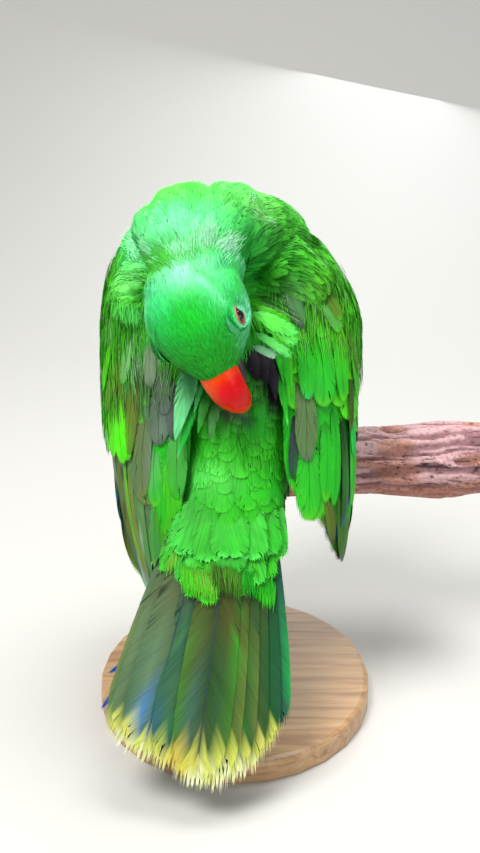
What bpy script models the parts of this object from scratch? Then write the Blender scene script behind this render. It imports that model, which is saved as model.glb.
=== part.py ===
"""Life-size still model of a male eclectus parrot that turns its head round to preen its back.

It grips a cut length of branch, which one rod and a flat round base hold up. Metres, +Z up.
The bird's back faces -Y, its left side is at -X, and the origin is under the middle of the base.
"""

import math

import bmesh
import bpy
import numpy as np

MM = 0.001
GAP = 0.35 * MM

# The body's own frame: up the back, out to the side, and from the back towards the belly.
BODY_PITCH = math.radians(64)
RUMP = np.array([0.0, -49.5, 159.0]) * MM
SIDE = np.array([1.0, 0.0, 0.0])
UP_BACK = np.array([0.0, math.cos(BODY_PITCH), math.sin(BODY_PITCH)])
TO_BELLY = np.array([0.0, math.sin(BODY_PITCH), -math.cos(BODY_PITCH)])

# The trunk's cross-sections up the back, in mm: place, middle, half width, depth, drop of the back.
TRUNK_PLACES = (-52, -40, -25, 0, 30, 70, 105, 130, 148, 160, 168)
TRUNK_MIDDLES = (-8, -7, -4.5, 0, 0.5, 0, -2, -6, -9, -10, -10)
TRUNK_HALF_WIDTHS = (21, 26, 29, 31, 35, 43, 48, 50, 46, 36, 22)
TRUNK_DEPTHS = (5, 15, 30, 52, 69, 79, 84, 81, 69, 49, 26)
TRUNK_DROPS = (1.5, 0.5, 0, 0, 0.5, 1.5, 3, 4.5, 9, 17, 28)
TRUNK_RINGS = 17
TRUNK_SIDES = 20

# The neck folds back round a line across the upper back, so its sections are set by angle.
NECK_FOLD_PLACE = 112
NECK_FOLD_DEEP = 4
NECK_ANGLES = (8, 30, 60, 90, 125, 155, 184)
NECK_RADII = (40, 46, 41, 34.5, 32, 31, 30)
NECK_HALF_DEPTHS = (20, 32, 32, 28, 26, 24, 15)
NECK_HALF_WIDTHS = (30, 47, 49, 46, 36, 27, 17)
NECK_MIDDLES = (0, -1, -4, -11, -17, -21, -22)
NECK_RINGS = 12
NECK_SIDES = 20

# The head faces back and down, and rolls a little so that its left side shows.
HEAD_CENTRE = np.array([-18.7, -36.0, 256.0]) * MM
HEAD_YAW = math.radians(21.7)
HEAD_TILT = math.radians(20.4)
HEAD_ROLL = math.radians(19)
# Head sections from the back of the skull to the bill: place, half width, crown and throat heights.
HEAD_PLACES = (-29, -25, -16, -3, 9, 19, 27, 33, 36)
HEAD_HALF_WIDTHS = (8, 17.5, 25.5, 28.5, 27.2, 22, 15.5, 10.5, 7)
HEAD_CROWNS = (7, 14, 21.5, 25, 24, 19.5, 14.5, 11, 8)
HEAD_THROATS = (6, 13, 20, 23.5, 23, 20, 16, 12, 8)
CHEEK_FALL = 0.09
HEAD_RINGS = 13
HEAD_SIDES = 20

EYE_RADIUS = 6.4
EYE_AT = (9.6, 5.4, 19.8)

# Upper bill: an arch that hooks down, as thick and as wide as these at its stations.
BILL_ROOT = (28.0, -1.0)
BILL_TWIST = math.radians(4.5)
BILL_START_ANGLE = math.radians(6)
BILL_TURN = math.radians(92)
BILL_ARC_RADIUS = 23.5
BILL_HALF_WIDTHS = (10.6, 10.4, 9.8, 8.6, 6.6, 3.6, 1.0)
BILL_RISES = (9.5, 10.4, 10.4, 9.4, 7.4, 4.4, 1.4)
BILL_DROPS = (6.0, 5.6, 4.8, 3.8, 2.8, 1.6, 0.7)
BILL_RINGS = 11
BILL_SIDES = 14
LOWER_BILL_PLACES = (20, 27, 33, 38, 41.5)
LOWER_BILL_HALF_WIDTHS = (8.0, 8.3, 7.6, 5.9, 3.4)
LOWER_BILL_TOPS = (-8.0, -9.0, -11.0, -13.6, -16.5)
LOWER_BILL_DEPTHS = (8.5, 9.5, 9.0, 7.2, 4.0)

# Drooped wings: stations from the bend of the wing (0) to the feather tips (1).
WING_STATIONS = (0, 0.12, 0.3, 0.55, 0.8, 1)
WING_SPREADS = {"left": (62, 73, 77, 75, 66, 51), "right": (50, 63, 73, 72.5, 69.5, 63)}
WING_INNER_ANGLES = {"left": (26, 20, 21, 23, 28, 35), "right": (26, 20, 21, 27, 30, 36)}
WING_OUTER_ANGLES = (150, 148, 138, 122, 104, 90)
WING_BACKS = (27, 37, 43, 44, 42, 39)
WING_MIDDLE_DEEP = 44
WING_THICKNESSES = (20, 27, 26, 17, 6, 1.8)
WING_ALONG = 16
WING_ACROSS = 12
WING_EDGE = 0.9
WING_TOPS = {"left": (140, 157, 160, 154, 136), "right": (140, 154, 154, 146, 128)}
WING_ENDS = {"left": (-20, -33, -45, -52, -20), "right": (-8, -17, -26, -35, -16)}
FEATHERS_ON_WING_END = 6
WING_SCALLOP = 2.5

# Two primaries of the left wing stand clear of it past the tail's edge: side, place, depth.
PRIMARIES = (
    ((-40, -20, 42), (-46, -60, 38), (-52.5, -84, 34), (-69, -95, 29)),
    ((-42, -24, 47), (-50, -70, 44), (-57.5, -95, 38), (-73.5, -115, 32)),
)
PRIMARY_HALF_WIDTHS = (3.5, 4.5, 4.0, 0.8)
PRIMARY_THICKNESS = 1.2

# The tail fans from a point inside the rump. Angles lean to the bird's left.
TAIL_ROOT = (2.0, 33.0)
TAIL_LEAN = math.radians(8.2)
TAIL_HALF_FAN = math.radians(8.6)
TAIL_HALF_VANE = 17.0
TAIL_START = 62
TAIL_REACHES = (158, 172, 181, 187, 184, 178, 177, 172, 165)
TAIL_DEEPS = (3.0, 2.0)
TAIL_ROOF = 5.5
TAIL_THICKNESSES = (6.5, 1.4)
TAIL_FEATHERS = 9
TAIL_SCALLOP = 3.0
TAIL_ALONG = 7
TAIL_ACROSS = 28

# The branch under the feet, with its knots and bends as small waves.
PERCH_MIDDLE = np.array([0.0, 56.0, 132.0]) * MM
PERCH_RADIUS = 22.3
PERCH_ENDS = (-62.0, 160.0)
PERCH_RISE = 0.035
PERCH_SMOOTH = 50
PERCH_RINGS = 15
PERCH_SIDES = 16

# Legs and zygodactyl feet: two toes forward and two back round the branch.
FOOT_SIDE = 23.0
# Each place along the thigh: side share of the foot's, place up the back, and depth.
THIGH_LINE = ((0.85, 66.0, 44.0), (0.95, 56.0, 64.0), (1.0, 43.0, 80.0))
THIGH_RADII = (20.0, 17.0, 8.0)
SHANK_RADIUS = 4.2
SHANK_IN_THIGH = 4.0
TOE_RADIUS = 3.8
TOE_LIFT = 0.9
TOES = {"inner_front": (1, -11, 62), "outer_front": (1, 12, 84), "inner_back": (-1, -9, 50), "outer_back": (-1, 10, 74)}
CLAW_START = 4.5
CLAW_TURN = 32

# Display stand: round base, one rod.
BASE_RADIUS = 84
BASE_HEIGHT = 15
BASE_BEVEL = 3
DISC_SIDES = 28
ROD_RADIUS = 5.5
ROD_SIDE = 6.0


def material(name, colour, roughness, metallic=0.0):
    made = bpy.data.materials.new(name)
    made.use_nodes = True
    shader = made.node_tree.nodes["Principled BSDF"]
    shader.inputs["Base Color"].default_value = (*colour, 1)
    shader.inputs["Roughness"].default_value = roughness
    shader.inputs["Metallic"].default_value = metallic
    return made


def through(keys, values, at):
    """A smooth curve through named stations that makes no bulge of its own between them."""
    keys = np.asarray(keys, float)
    values = np.asarray(values, float)
    steps = np.diff(keys)
    rises = np.diff(values) / steps
    product = rises[1:] * rises[:-1]
    total = rises[1:] + rises[:-1]
    inner = np.where(product > 0, 2 * product / np.where(product > 0, total, 1), 0)
    slopes = np.concatenate(([rises[0]], inner, [rises[-1]]))
    at = np.clip(np.asarray(at, float), keys[0], keys[-1])
    i = np.clip(np.searchsorted(keys, at) - 1, 0, len(steps) - 1)
    h = steps[i]
    t = (at - keys[i]) / h
    start = values[i] * (1 + 2 * t) * (1 - t) ** 2 + slopes[i] * h * t * (1 - t) ** 2
    end = values[i + 1] * t * t * (3 - 2 * t) + slopes[i + 1] * h * t * t * (t - 1)
    return start + end


def in_body(side, place, deep):
    """A point from millimetres in the body's frame."""
    side, place, deep = np.broadcast_arrays(side, place, deep)
    return RUMP + MM * (side[..., None] * SIDE + place[..., None] * UP_BACK + deep[..., None] * TO_BELLY)


def head_axes():
    """Forward, up and left of the turned head."""
    level = math.cos(HEAD_TILT)
    forward = np.array([math.sin(HEAD_YAW) * level, -math.sin(HEAD_TILT), -math.cos(HEAD_YAW) * level])
    up = np.array([0.0, -1.0, 0.0])
    up = up - forward * (up @ forward)
    up = up / np.linalg.norm(up)
    left = np.cross(up, forward)
    up = up * math.cos(HEAD_ROLL) - left * math.sin(HEAD_ROLL)
    return forward, up, np.cross(up, forward)


HEAD_FORWARD, HEAD_UP, HEAD_LEFT = head_axes()


def in_head(ahead, up, left):
    """A point from millimetres in the head's frame."""
    ahead, up, left = np.broadcast_arrays(ahead, up, left)
    offset = ahead[..., None] * HEAD_FORWARD + up[..., None] * HEAD_UP + left[..., None] * HEAD_LEFT
    return HEAD_CENTRE + MM * offset


def add_object(name, vertices, faces, look, smooth=True):
    mesh = bpy.data.meshes.new(name)
    mesh.from_pydata([tuple(map(float, v)) for v in vertices], [], faces)
    tidy = bmesh.new()
    tidy.from_mesh(mesh)
    bmesh.ops.recalc_face_normals(tidy, faces=tidy.faces)
    tidy.to_mesh(mesh)
    tidy.free()
    if smooth:
        mesh.shade_smooth()
    if look:
        mesh.materials.append(look)
    made = bpy.data.objects.new(name, mesh)
    bpy.context.scene.collection.objects.link(made)
    return made


def ring_faces(rings, sides):
    """Triangles with fixed diagonals, so that a cutter's facets lie over those of its twin."""
    faces = []
    for i in range(rings - 1):
        for j in range(sides):
            k = (j + 1) % sides
            a, b, c, d = i * sides + j, i * sides + k, (i + 1) * sides + k, (i + 1) * sides + j
            faces += [(a, b, c), (a, c, d)]
    return faces


def loft(name, rings, look):
    """A closed body through rings of points, with a fan of triangles at each end."""
    count, sides = rings.shape[:2]
    points = list(rings.reshape(-1, 3))
    faces = ring_faces(count, sides)
    for ring, first in ((0, 0), (count - 1, (count - 1) * sides)):
        middle = len(points)
        points.append(rings[ring].mean(axis=0))
        faces += [(first + j, first + (j + 1) % sides, middle) for j in range(sides)]
    return add_object(name, points, faces, look)


def shell(name, grid, inwards, look):
    """A closed plate from a grid of outer points and the step inwards at each of them."""
    under = grid + inwards
    rows, columns = grid.shape[:2]
    count = rows * columns
    points = list(grid.reshape(-1, 3)) + list(under.reshape(-1, 3))
    faces = []
    for i in range(rows - 1):
        for j in range(columns - 1):
            a = i * columns + j
            for face in ((a, a + 1, a + columns + 1), (a, a + columns + 1, a + columns)):
                faces.append(face)
                faces.append(tuple(count + k for k in reversed(face)))
    rim = [j for j in range(columns)]
    rim += [i * columns + columns - 1 for i in range(1, rows)]
    rim += [(rows - 1) * columns + j for j in range(columns - 2, -1, -1)]
    rim += [i * columns for i in range(rows - 2, 0, -1)]
    for a, b in zip(rim, rim[1:] + rim[:1]):
        faces.append((b, a, count + a, count + b))
    return add_object(name, points, faces, look)


def cut(target, *cutters, operation="DIFFERENCE"):
    for cutter in cutters:
        step = target.modifiers.new(f"{operation.lower()}_{cutter.name}", "BOOLEAN")
        step.operation = operation
        step.object = cutter
        cutter.hide_render = True
        cutter.display_type = "WIRE"


def tube(name, centres, radii, sides, look, flat=1.0, across=SIDE):
    """A round closed tube through centres, with ends that close as domes."""
    centres = np.asarray(centres, float)
    along = np.gradient(centres, axis=0)
    along /= np.linalg.norm(along, axis=1, keepdims=True)
    first = across - along * (along @ across)[:, None]
    first /= np.linalg.norm(first, axis=1, keepdims=True)
    second = np.cross(along, first)
    angles = np.arange(sides) * 2 * math.pi / sides
    radii = np.broadcast_to(radii, len(centres))[:, None, None]
    offsets = first[:, None] * np.cos(angles)[None, :, None]
    offsets = offsets + second[:, None] * np.sin(angles)[None, :, None] * flat
    return loft(name, centres[:, None] + offsets * radii, look)


def trunk_rings(grow=0.0):
    """Rings from the tips of the tail coverts to the top of the shoulders."""
    places = TRUNK_PLACES[0] + (TRUNK_PLACES[-1] - TRUNK_PLACES[0]) * np.linspace(0, 1, TRUNK_RINGS)
    widths = through(TRUNK_PLACES, TRUNK_HALF_WIDTHS, places)
    depths = through(TRUNK_PLACES, TRUNK_DEPTHS, places)
    drops = through(TRUNK_PLACES, TRUNK_DROPS, places)
    middles = through(TRUNK_PLACES, TRUNK_MIDDLES, places)
    places = places + grow * np.linspace(-1, 1, TRUNK_RINGS)
    angles = np.arange(TRUNK_SIDES) * 2 * math.pi / TRUNK_SIDES
    side = middles[:, None] + (widths[:, None] + grow) * np.sin(angles)
    deep = drops[:, None] + depths[:, None] / 2 - (depths[:, None] / 2 + grow) * np.cos(angles)
    return in_body(side, places[:, None], deep)


def neck_rings(grow=0.0):
    """Rings round the fold, from inside the shoulders, over the top, and down into the head."""
    turns = np.linspace(NECK_ANGLES[0], NECK_ANGLES[-1], NECK_RINGS)
    radii = through(NECK_ANGLES, NECK_RADII, turns)[:, None]
    depths = through(NECK_ANGLES, NECK_HALF_DEPTHS, turns)[:, None] + grow
    widths = through(NECK_ANGLES, NECK_HALF_WIDTHS, turns)[:, None] + grow
    middles = through(NECK_ANGLES, NECK_MIDDLES, turns)[:, None]
    angles = np.arange(NECK_SIDES) * 2 * math.pi / NECK_SIDES
    reach = radii + depths * np.cos(angles)
    turns = np.radians(turns)[:, None]
    place = NECK_FOLD_PLACE + reach * np.sin(turns)
    deep = NECK_FOLD_DEEP + reach * np.cos(turns)
    return in_body(middles + widths * np.sin(angles), place, deep)


def head_rings(grow=0.0):
    ahead = np.linspace(HEAD_PLACES[0], HEAD_PLACES[-1], HEAD_RINGS)
    widths = through(HEAD_PLACES, HEAD_HALF_WIDTHS, ahead)[:, None] + grow
    crowns = through(HEAD_PLACES, HEAD_CROWNS, ahead)[:, None] + grow
    throats = through(HEAD_PLACES, HEAD_THROATS, ahead)[:, None] + grow
    ahead = ahead + grow * np.linspace(-1, 1, HEAD_RINGS)
    angles = np.arange(HEAD_SIDES) * 2 * math.pi / HEAD_SIDES
    rise = np.cos(angles)
    heights = np.where(rise > 0, crowns, throats) * rise
    return in_head(ahead[:, None], heights, widths * np.sin(angles) * (1 - CHEEK_FALL * rise))


def upper_bill_rings(grow=0.0):
    """Sections along an arc that bends down from the forehead to the hooked tip."""
    share = np.linspace(0, 1, BILL_RINGS)
    keys = np.linspace(0, 1, len(BILL_HALF_WIDTHS))
    widths = through(keys, BILL_HALF_WIDTHS, share)[:, None] + grow
    rises = through(keys, BILL_RISES, share)[:, None] + grow
    drops = through(keys, BILL_DROPS, share)[:, None] + grow
    turn = (BILL_START_ANGLE + BILL_TURN * share)[:, None]
    ahead = BILL_ROOT[0] + BILL_ARC_RADIUS * (np.sin(turn) - math.sin(BILL_START_ANGLE))
    up = BILL_ROOT[1] - BILL_ARC_RADIUS * (math.cos(BILL_START_ANGLE) - np.cos(turn))
    angles = np.arange(BILL_SIDES) * 2 * math.pi / BILL_SIDES
    rise = np.cos(angles)
    heights = np.where(rise > 0, rises, drops) * rise
    up = up + heights * np.cos(turn)
    left = widths * np.sin(angles)
    swung = left * math.cos(BILL_TWIST) + up * math.sin(BILL_TWIST)
    up = up * math.cos(BILL_TWIST) - left * math.sin(BILL_TWIST)
    return in_head(ahead + heights * np.sin(turn), up, swung)


def lower_bill_rings():
    ahead = np.linspace(LOWER_BILL_PLACES[0], LOWER_BILL_PLACES[-1], 10)
    widths = through(LOWER_BILL_PLACES, LOWER_BILL_HALF_WIDTHS, ahead)[:, None]
    tops = through(LOWER_BILL_PLACES, LOWER_BILL_TOPS, ahead)[:, None]
    depths = through(LOWER_BILL_PLACES, LOWER_BILL_DEPTHS, ahead)[:, None]
    angles = np.arange(BILL_SIDES) * 2 * math.pi / BILL_SIDES
    heights = tops - depths / 2 * (1 - np.cos(angles))
    return in_head(ahead[:, None], heights, widths * np.sin(angles))


def wing_grid(side_name):
    """The wing's outer surface, from its bend to the tips and from back to breast, and the way in."""
    sign = -1 if side_name == "left" else 1
    share = np.linspace(0, 1, WING_ALONG)[:, None]
    across = np.linspace(0, 1, WING_ACROSS)[None, :]
    keys = np.linspace(0, 1, len(WING_ENDS[side_name]))
    top = through(keys, WING_TOPS[side_name], across)
    end = through(keys, WING_ENDS[side_name], across)
    end = end + WING_SCALLOP * np.cos(2 * math.pi * FEATHERS_ON_WING_END * across)
    place = top + (end - top) * share
    inner = through(WING_STATIONS, WING_INNER_ANGLES[side_name], share)
    outer = through(WING_STATIONS, WING_OUTER_ANGLES, share)
    angle = np.radians(inner + (outer - inner) * across)
    spread = through(WING_STATIONS, WING_SPREADS[side_name], share)
    back = through(WING_STATIONS, WING_BACKS, share)
    side = sign * spread * np.sin(angle)
    grid = in_body(side, place, WING_MIDDLE_DEEP - back * np.cos(angle))
    inwards = in_body(0, place, WING_MIDDLE_DEEP) - grid
    return grid, inwards / np.linalg.norm(inwards, axis=-1, keepdims=True)


def wing_thickness():
    share = np.linspace(0, 1, WING_ALONG)[:, None]
    across = np.linspace(0, 1, WING_ACROSS)[None, :]
    body = through(WING_STATIONS, WING_THICKNESSES, share)
    edge = np.sqrt(np.clip(1 - (2 * across - 1) ** 4, 0, 1)) * np.clip(share * 12, 0, 1) ** 0.5
    return MM * (WING_EDGE + (body - WING_EDGE) * edge)


def wing(side_name, look, cutters):
    grid, inwards = wing_grid(side_name)
    made = shell(f"wing_{side_name}", grid, inwards * wing_thickness()[..., None], look)
    cut(made, *cutters)


def clear_primaries(look):
    """The feather blades that stand clear of the left wing, each in its own node."""
    for number, line in enumerate(PRIMARIES, 1):
        keys = np.linspace(0, 1, len(line))
        share = np.linspace(0, 1, 9)[:, None]
        side, place, deep = (through(keys, row, share) for row in np.transpose(line))
        half = through(keys, PRIMARY_HALF_WIDTHS, share)
        across = np.linspace(-1, 1, 3)[None, :]
        grid = in_body(side + half * across, place, deep + 0.8 * across**2)
        shell(f"primary_left_{number}", grid, TO_BELLY * PRIMARY_THICKNESS * MM, look)


def tail_grid():
    across = np.linspace(-1, 1, TAIL_ACROSS)[None, :]
    lean = TAIL_LEAN + TAIL_HALF_FAN * across
    reach = through(np.linspace(-1, 1, len(TAIL_REACHES)), TAIL_REACHES, across)
    reach = reach - TAIL_SCALLOP * (1 - np.abs(np.cos(math.pi * TAIL_FEATHERS * (across + 1) / 2)))
    share = np.linspace(0, 1, TAIL_ALONG)[:, None]
    far = TAIL_START + (reach - TAIL_START) * share
    side = TAIL_ROOT[0] - far * np.sin(lean) - TAIL_HALF_VANE * across
    place = TAIL_ROOT[1] - far * np.cos(lean)
    deep = TAIL_DEEPS[0] + (TAIL_DEEPS[1] - TAIL_DEEPS[0]) * share + TAIL_ROOF * across**2
    return in_body(side, place, deep), share, across


def tail(look, cutters):
    grid, share, across = tail_grid()
    body = TAIL_THICKNESSES[0] + (TAIL_THICKNESSES[1] - TAIL_THICKNESSES[0]) * share**0.6
    thickness = MM * (body * (1 - 0.35 * across**2))
    made = shell("tail", grid, TO_BELLY * thickness[..., None], look)
    cut(made, *cutters)


def perch_rings(grow=0.0):
    """A crooked branch: its line wanders and its girth swells at old knots."""
    along = np.linspace(*PERCH_ENDS, PERCH_RINGS)[:, None]
    angles = np.arange(PERCH_SIDES) * 2 * math.pi / PERCH_SIDES
    knots = 1.3 * np.sin(along * 0.055 + 0.6) + 0.7 * np.sin(along * 0.021 + 2 * np.cos(angles))
    ridges = 0.5 * np.sin(5 * angles + along * 0.03) + 0.35 * np.sin(3 * angles - along * 0.05)
    away = np.clip((np.abs(along) - PERCH_SMOOTH) / 20, 0, 1)
    radius = PERCH_RADIUS + (knots + ridges) * away + grow
    sway = away * 1.5 * np.sin(along * 0.03)
    y = PERCH_MIDDLE[1] + MM * (radius * np.cos(angles) + sway)
    z = PERCH_MIDDLE[2] + MM * (radius * np.sin(angles) + along * PERCH_RISE)
    return np.stack(np.broadcast_arrays(MM * along, y, z), axis=-1)


def on_perch(side, angle, height):
    """A point at this height over the branch's bark, its angle counted forwards from the top."""
    reach = MM * (PERCH_RADIUS + height)
    middle = PERCH_MIDDLE + MM * np.array([side, 0.0, side * PERCH_RISE])
    return middle + reach * np.array([0.0, math.sin(angle), math.cos(angle)])


def shank(name, side_name, look, grow=0.0):
    """The bare shank, from just inside the end of the thigh down to the top of the branch."""
    middle = (-1 if side_name == "left" else 1) * FOOT_SIDE
    top = on_perch(middle, 0.0, SHANK_RADIUS + TOE_LIFT)
    heel = in_body(middle, *THIGH_LINE[-1][1:])
    heel = heel + (heel - top) / np.linalg.norm(heel - top) * SHANK_IN_THIGH * MM
    share = np.linspace(-0.5 * grow, 1, 5)[:, None]
    return tube(name, heel + (top - heel) * share, (SHANK_RADIUS + grow) * MM, 10, look)


def foot(side_name, look, claw_look):
    sign = -1 if side_name == "left" else 1
    middle = sign * FOOT_SIDE
    made = shank(f"foot_{side_name}", side_name, look)
    for toe, (way, splay, reach) in TOES.items():
        steps = np.linspace(-0.1, 1, 7)
        angles = way * np.radians(reach) * steps
        sides = middle + sign * splay * (0.1 + 0.9 * steps)
        radii = TOE_RADIUS * (1 - 0.2 * steps)
        line = [on_perch(s, a, TOE_LIFT + r) for s, a, r in zip(sides, angles, radii)]
        cutter = tube(f"cutter_toe_{side_name}_{toe}", line, radii * MM, 7, None)
        cut(made, cutter, operation="UNION")
        claw(f"claw_{side_name}_{toe}", middle + sign * splay, way, reach, claw_look)


def claw(name, side, way, reach, look):
    """A curved claw beyond a toe's last pad, clear of it and of the bark."""
    steps = np.linspace(0, 1, 5)
    angles = way * np.radians(reach + CLAW_START + CLAW_TURN * steps)
    heights = 4.6 - 2.4 * steps
    radii = MM * (2.2 * (1 - steps) ** 0.7 + 0.45)
    tube(name, [on_perch(side, a, h) for a, h in zip(angles, heights)], radii, 7, look)


def thigh(side_name, look, cutters):
    """The feathered upper leg, from inside the belly to the heel."""
    sign = -1 if side_name == "left" else 1
    keys = np.linspace(0, 1, len(THIGH_LINE))
    share = np.linspace(0, 1, 7)
    side, place, deep = (through(keys, row, share) for row in np.transpose(THIGH_LINE))
    radii = through(keys, THIGH_RADII, share) * MM
    made = tube(f"thigh_{side_name}", in_body(sign * FOOT_SIDE * side, place, deep), radii, 14, look)
    cut(made, *cutters, shank(f"cutter_shank_{side_name}", side_name, None, GAP / MM))


def ball(name, centre, radius, look):
    angles = np.linspace(0.16, math.pi - 0.16, 7)
    centres = [centre + HEAD_LEFT * radius * math.cos(a) for a in angles]
    return tube(name, centres, radius * np.sin(angles), 12, look, across=HEAD_UP)


def disc(name, radius, low, high, middle, look, bevel=0.0):
    angles = np.arange(DISC_SIDES) * 2 * math.pi / DISC_SIDES
    rows = [(low, radius - bevel / 3), (low + bevel / 3, radius), (high - bevel, radius)]
    rows += [(high - bevel * (1 - math.sin(a)), radius - bevel * (1 - math.cos(a))) for a in (0.8, 1.57)]
    rings = []
    for z, r in rows:
        x = middle[0] + r * np.cos(angles)
        y = middle[1] + r * np.sin(angles)
        rings.append(np.stack((x, y, np.full_like(x, z)), axis=-1))
    return loft(name, np.array(rings), look)


def build():
    for old in list(bpy.data.objects):
        bpy.data.objects.remove(old)
    plumage = material("plumage", (0.02, 0.45, 0.06), 0.5)
    flight = material("flight_feathers", (0.05, 0.32, 0.12), 0.42)
    orange = material("bill_orange", (0.9, 0.12, 0.02), 0.25)
    black = material("bill_black", (0.02, 0.018, 0.018), 0.3)
    iris = material("eye", (0.35, 0.08, 0.02), 0.1)
    scales = material("foot_scales", (0.16, 0.16, 0.17), 0.6)
    horn = material("claw", (0.03, 0.03, 0.03), 0.35)
    bark = material("bark", (0.3, 0.16, 0.12), 0.85)
    wood = material("stand_wood", (0.62, 0.46, 0.3), 0.5)
    steel = material("stand_steel", (0.6, 0.6, 0.6), 0.3, 1.0)

    grown = GAP / MM
    trunk_cutter = loft("cutter_trunk", trunk_rings(grown), None)
    neck_cutter = loft("cutter_neck", neck_rings(grown), None)
    head_cutter = loft("cutter_head", head_rings(grown), None)
    perch_cutter = loft("cutter_perch", perch_rings(grown), None)
    upper_cutter = loft("cutter_upper_bill", upper_bill_rings(grown), None)

    loft("trunk", trunk_rings(), plumage)
    cut(loft("neck", neck_rings(), plumage), trunk_cutter, head_cutter)
    head = loft("head", head_rings(), plumage)
    for side_name, sign in (("left", 1), ("right", -1)):
        ahead, up, left = EYE_AT
        centre = in_head(ahead, up, sign * left)
        ball(f"eye_{side_name}", centre, EYE_RADIUS * MM, iris)
        socket = ball(f"cutter_eye_{side_name}", centre, EYE_RADIUS * MM + GAP, None)
        cut(head, socket)
    cut(loft("bill_upper", upper_bill_rings(), orange), head_cutter)
    cut(loft("bill_lower", lower_bill_rings(), black), head_cutter, upper_cutter)

    for side_name in ("left", "right"):
        wing(side_name, flight, (trunk_cutter, neck_cutter, head_cutter))
        thigh(side_name, plumage, (trunk_cutter,))
        foot(side_name, scales, horn)
    clear_primaries(flight)
    tail(flight, (trunk_cutter,))

    loft("perch", perch_rings(), bark)
    disc("stand_base", BASE_RADIUS * MM, 0.0, BASE_HEIGHT * MM, (0, 0), wood, BASE_BEVEL * MM)
    rod_middle = (ROD_SIDE * MM, PERCH_MIDDLE[1])
    rod = disc("stand_rod", ROD_RADIUS * MM, BASE_HEIGHT * MM + GAP, PERCH_MIDDLE[2], rod_middle, steel)
    cut(rod, perch_cutter)


build()
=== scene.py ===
"""Looks of the life-size eclectus parrot: skin, feathers, eyes, bill, feet, perch, stand and studio.

All work is in millimetres in the frame of the solids, and becomes metres when a mesh is made.
"""

import math

import bpy
import numpy as np
from mathutils import Matrix, Vector
from mathutils.bvhtree import BVHTree


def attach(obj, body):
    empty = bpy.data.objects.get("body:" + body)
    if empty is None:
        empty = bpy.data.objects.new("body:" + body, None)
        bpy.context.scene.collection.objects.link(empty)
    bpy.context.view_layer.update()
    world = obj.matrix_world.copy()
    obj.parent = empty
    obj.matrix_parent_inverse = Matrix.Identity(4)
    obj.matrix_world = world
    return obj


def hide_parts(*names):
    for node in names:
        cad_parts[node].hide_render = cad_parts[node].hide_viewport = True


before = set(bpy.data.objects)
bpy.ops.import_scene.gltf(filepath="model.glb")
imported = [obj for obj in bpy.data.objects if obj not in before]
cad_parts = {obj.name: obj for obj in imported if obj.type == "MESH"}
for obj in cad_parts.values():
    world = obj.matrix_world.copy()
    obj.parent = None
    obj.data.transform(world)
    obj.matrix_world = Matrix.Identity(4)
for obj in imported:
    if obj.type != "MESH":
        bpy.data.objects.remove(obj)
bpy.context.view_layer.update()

MM = 0.001

# ---------------------------------------------------------------- the photo's camera

CAMERA_AT = np.array([3.2, -498.6, 382.3])
CAMERA_PITCH = math.radians(22)
FOCAL_PIXELS = 950.0
PHOTO_SIZE = (480, 853)
PHOTO_MIDDLE = (240.0, 426.5)
SENSOR = 36.0
CAMERA_AHEAD = np.array([0.0, math.cos(CAMERA_PITCH), -math.sin(CAMERA_PITCH)])
CAMERA_UP = np.array([0.0, math.sin(CAMERA_PITCH), math.cos(CAMERA_PITCH)])

# ---------------------------------------------------------------- sizes shared with the solids

BODY_PITCH = math.radians(64)
RUMP = np.array([0.0, -49.5, 159.0])
SIDE = np.array([1.0, 0.0, 0.0])
UP_BACK = np.array([0.0, math.cos(BODY_PITCH), math.sin(BODY_PITCH)])
TO_BELLY = np.array([0.0, math.sin(BODY_PITCH), -math.cos(BODY_PITCH)])

TRUNK_PLACES = (-52, -40, -25, 0, 30, 70, 105, 130, 148, 160, 168)
TRUNK_MIDDLES = (-8, -7, -4.5, 0, 0.5, 0, -2, -6, -9, -10, -10)
TRUNK_HALF_WIDTHS = (21, 26, 29, 31, 35, 43, 48, 50, 46, 36, 22)
TRUNK_DEPTHS = (5, 15, 30, 52, 69, 79, 84, 81, 69, 49, 26)
TRUNK_DROPS = (1.5, 0.5, 0, 0, 0.5, 1.5, 3, 4.5, 9, 17, 28)

NECK_FOLD_PLACE = 112
NECK_FOLD_DEEP = 4
NECK_ANGLES = (8, 30, 60, 90, 125, 155, 184)
NECK_RADII = (40, 46, 41, 34.5, 32, 31, 30)
NECK_HALF_DEPTHS = (20, 32, 32, 28, 26, 24, 15)
NECK_HALF_WIDTHS = (30, 47, 49, 46, 36, 27, 17)
NECK_MIDDLES = (0, -1, -4, -11, -17, -21, -22)

HEAD_CENTRE = np.array([-18.7, -36.0, 256.0])
HEAD_YAW = math.radians(21.7)
HEAD_TILT = math.radians(20.4)
HEAD_ROLL = math.radians(19)
HEAD_PLACES = (-29, -25, -16, -3, 9, 19, 27, 33, 36)
HEAD_HALF_WIDTHS = (8, 17.5, 25.5, 28.5, 27.2, 22, 15.5, 10.5, 7)
HEAD_CROWNS = (7, 14, 21.5, 25, 24, 19.5, 14.5, 11, 8)
HEAD_THROATS = (6, 13, 20, 23.5, 23, 20, 16, 12, 8)
CHEEK_FALL = 0.09
EYE_RADIUS = 6.4
EYE_AT = (9.6, 5.4, 19.8)

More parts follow.
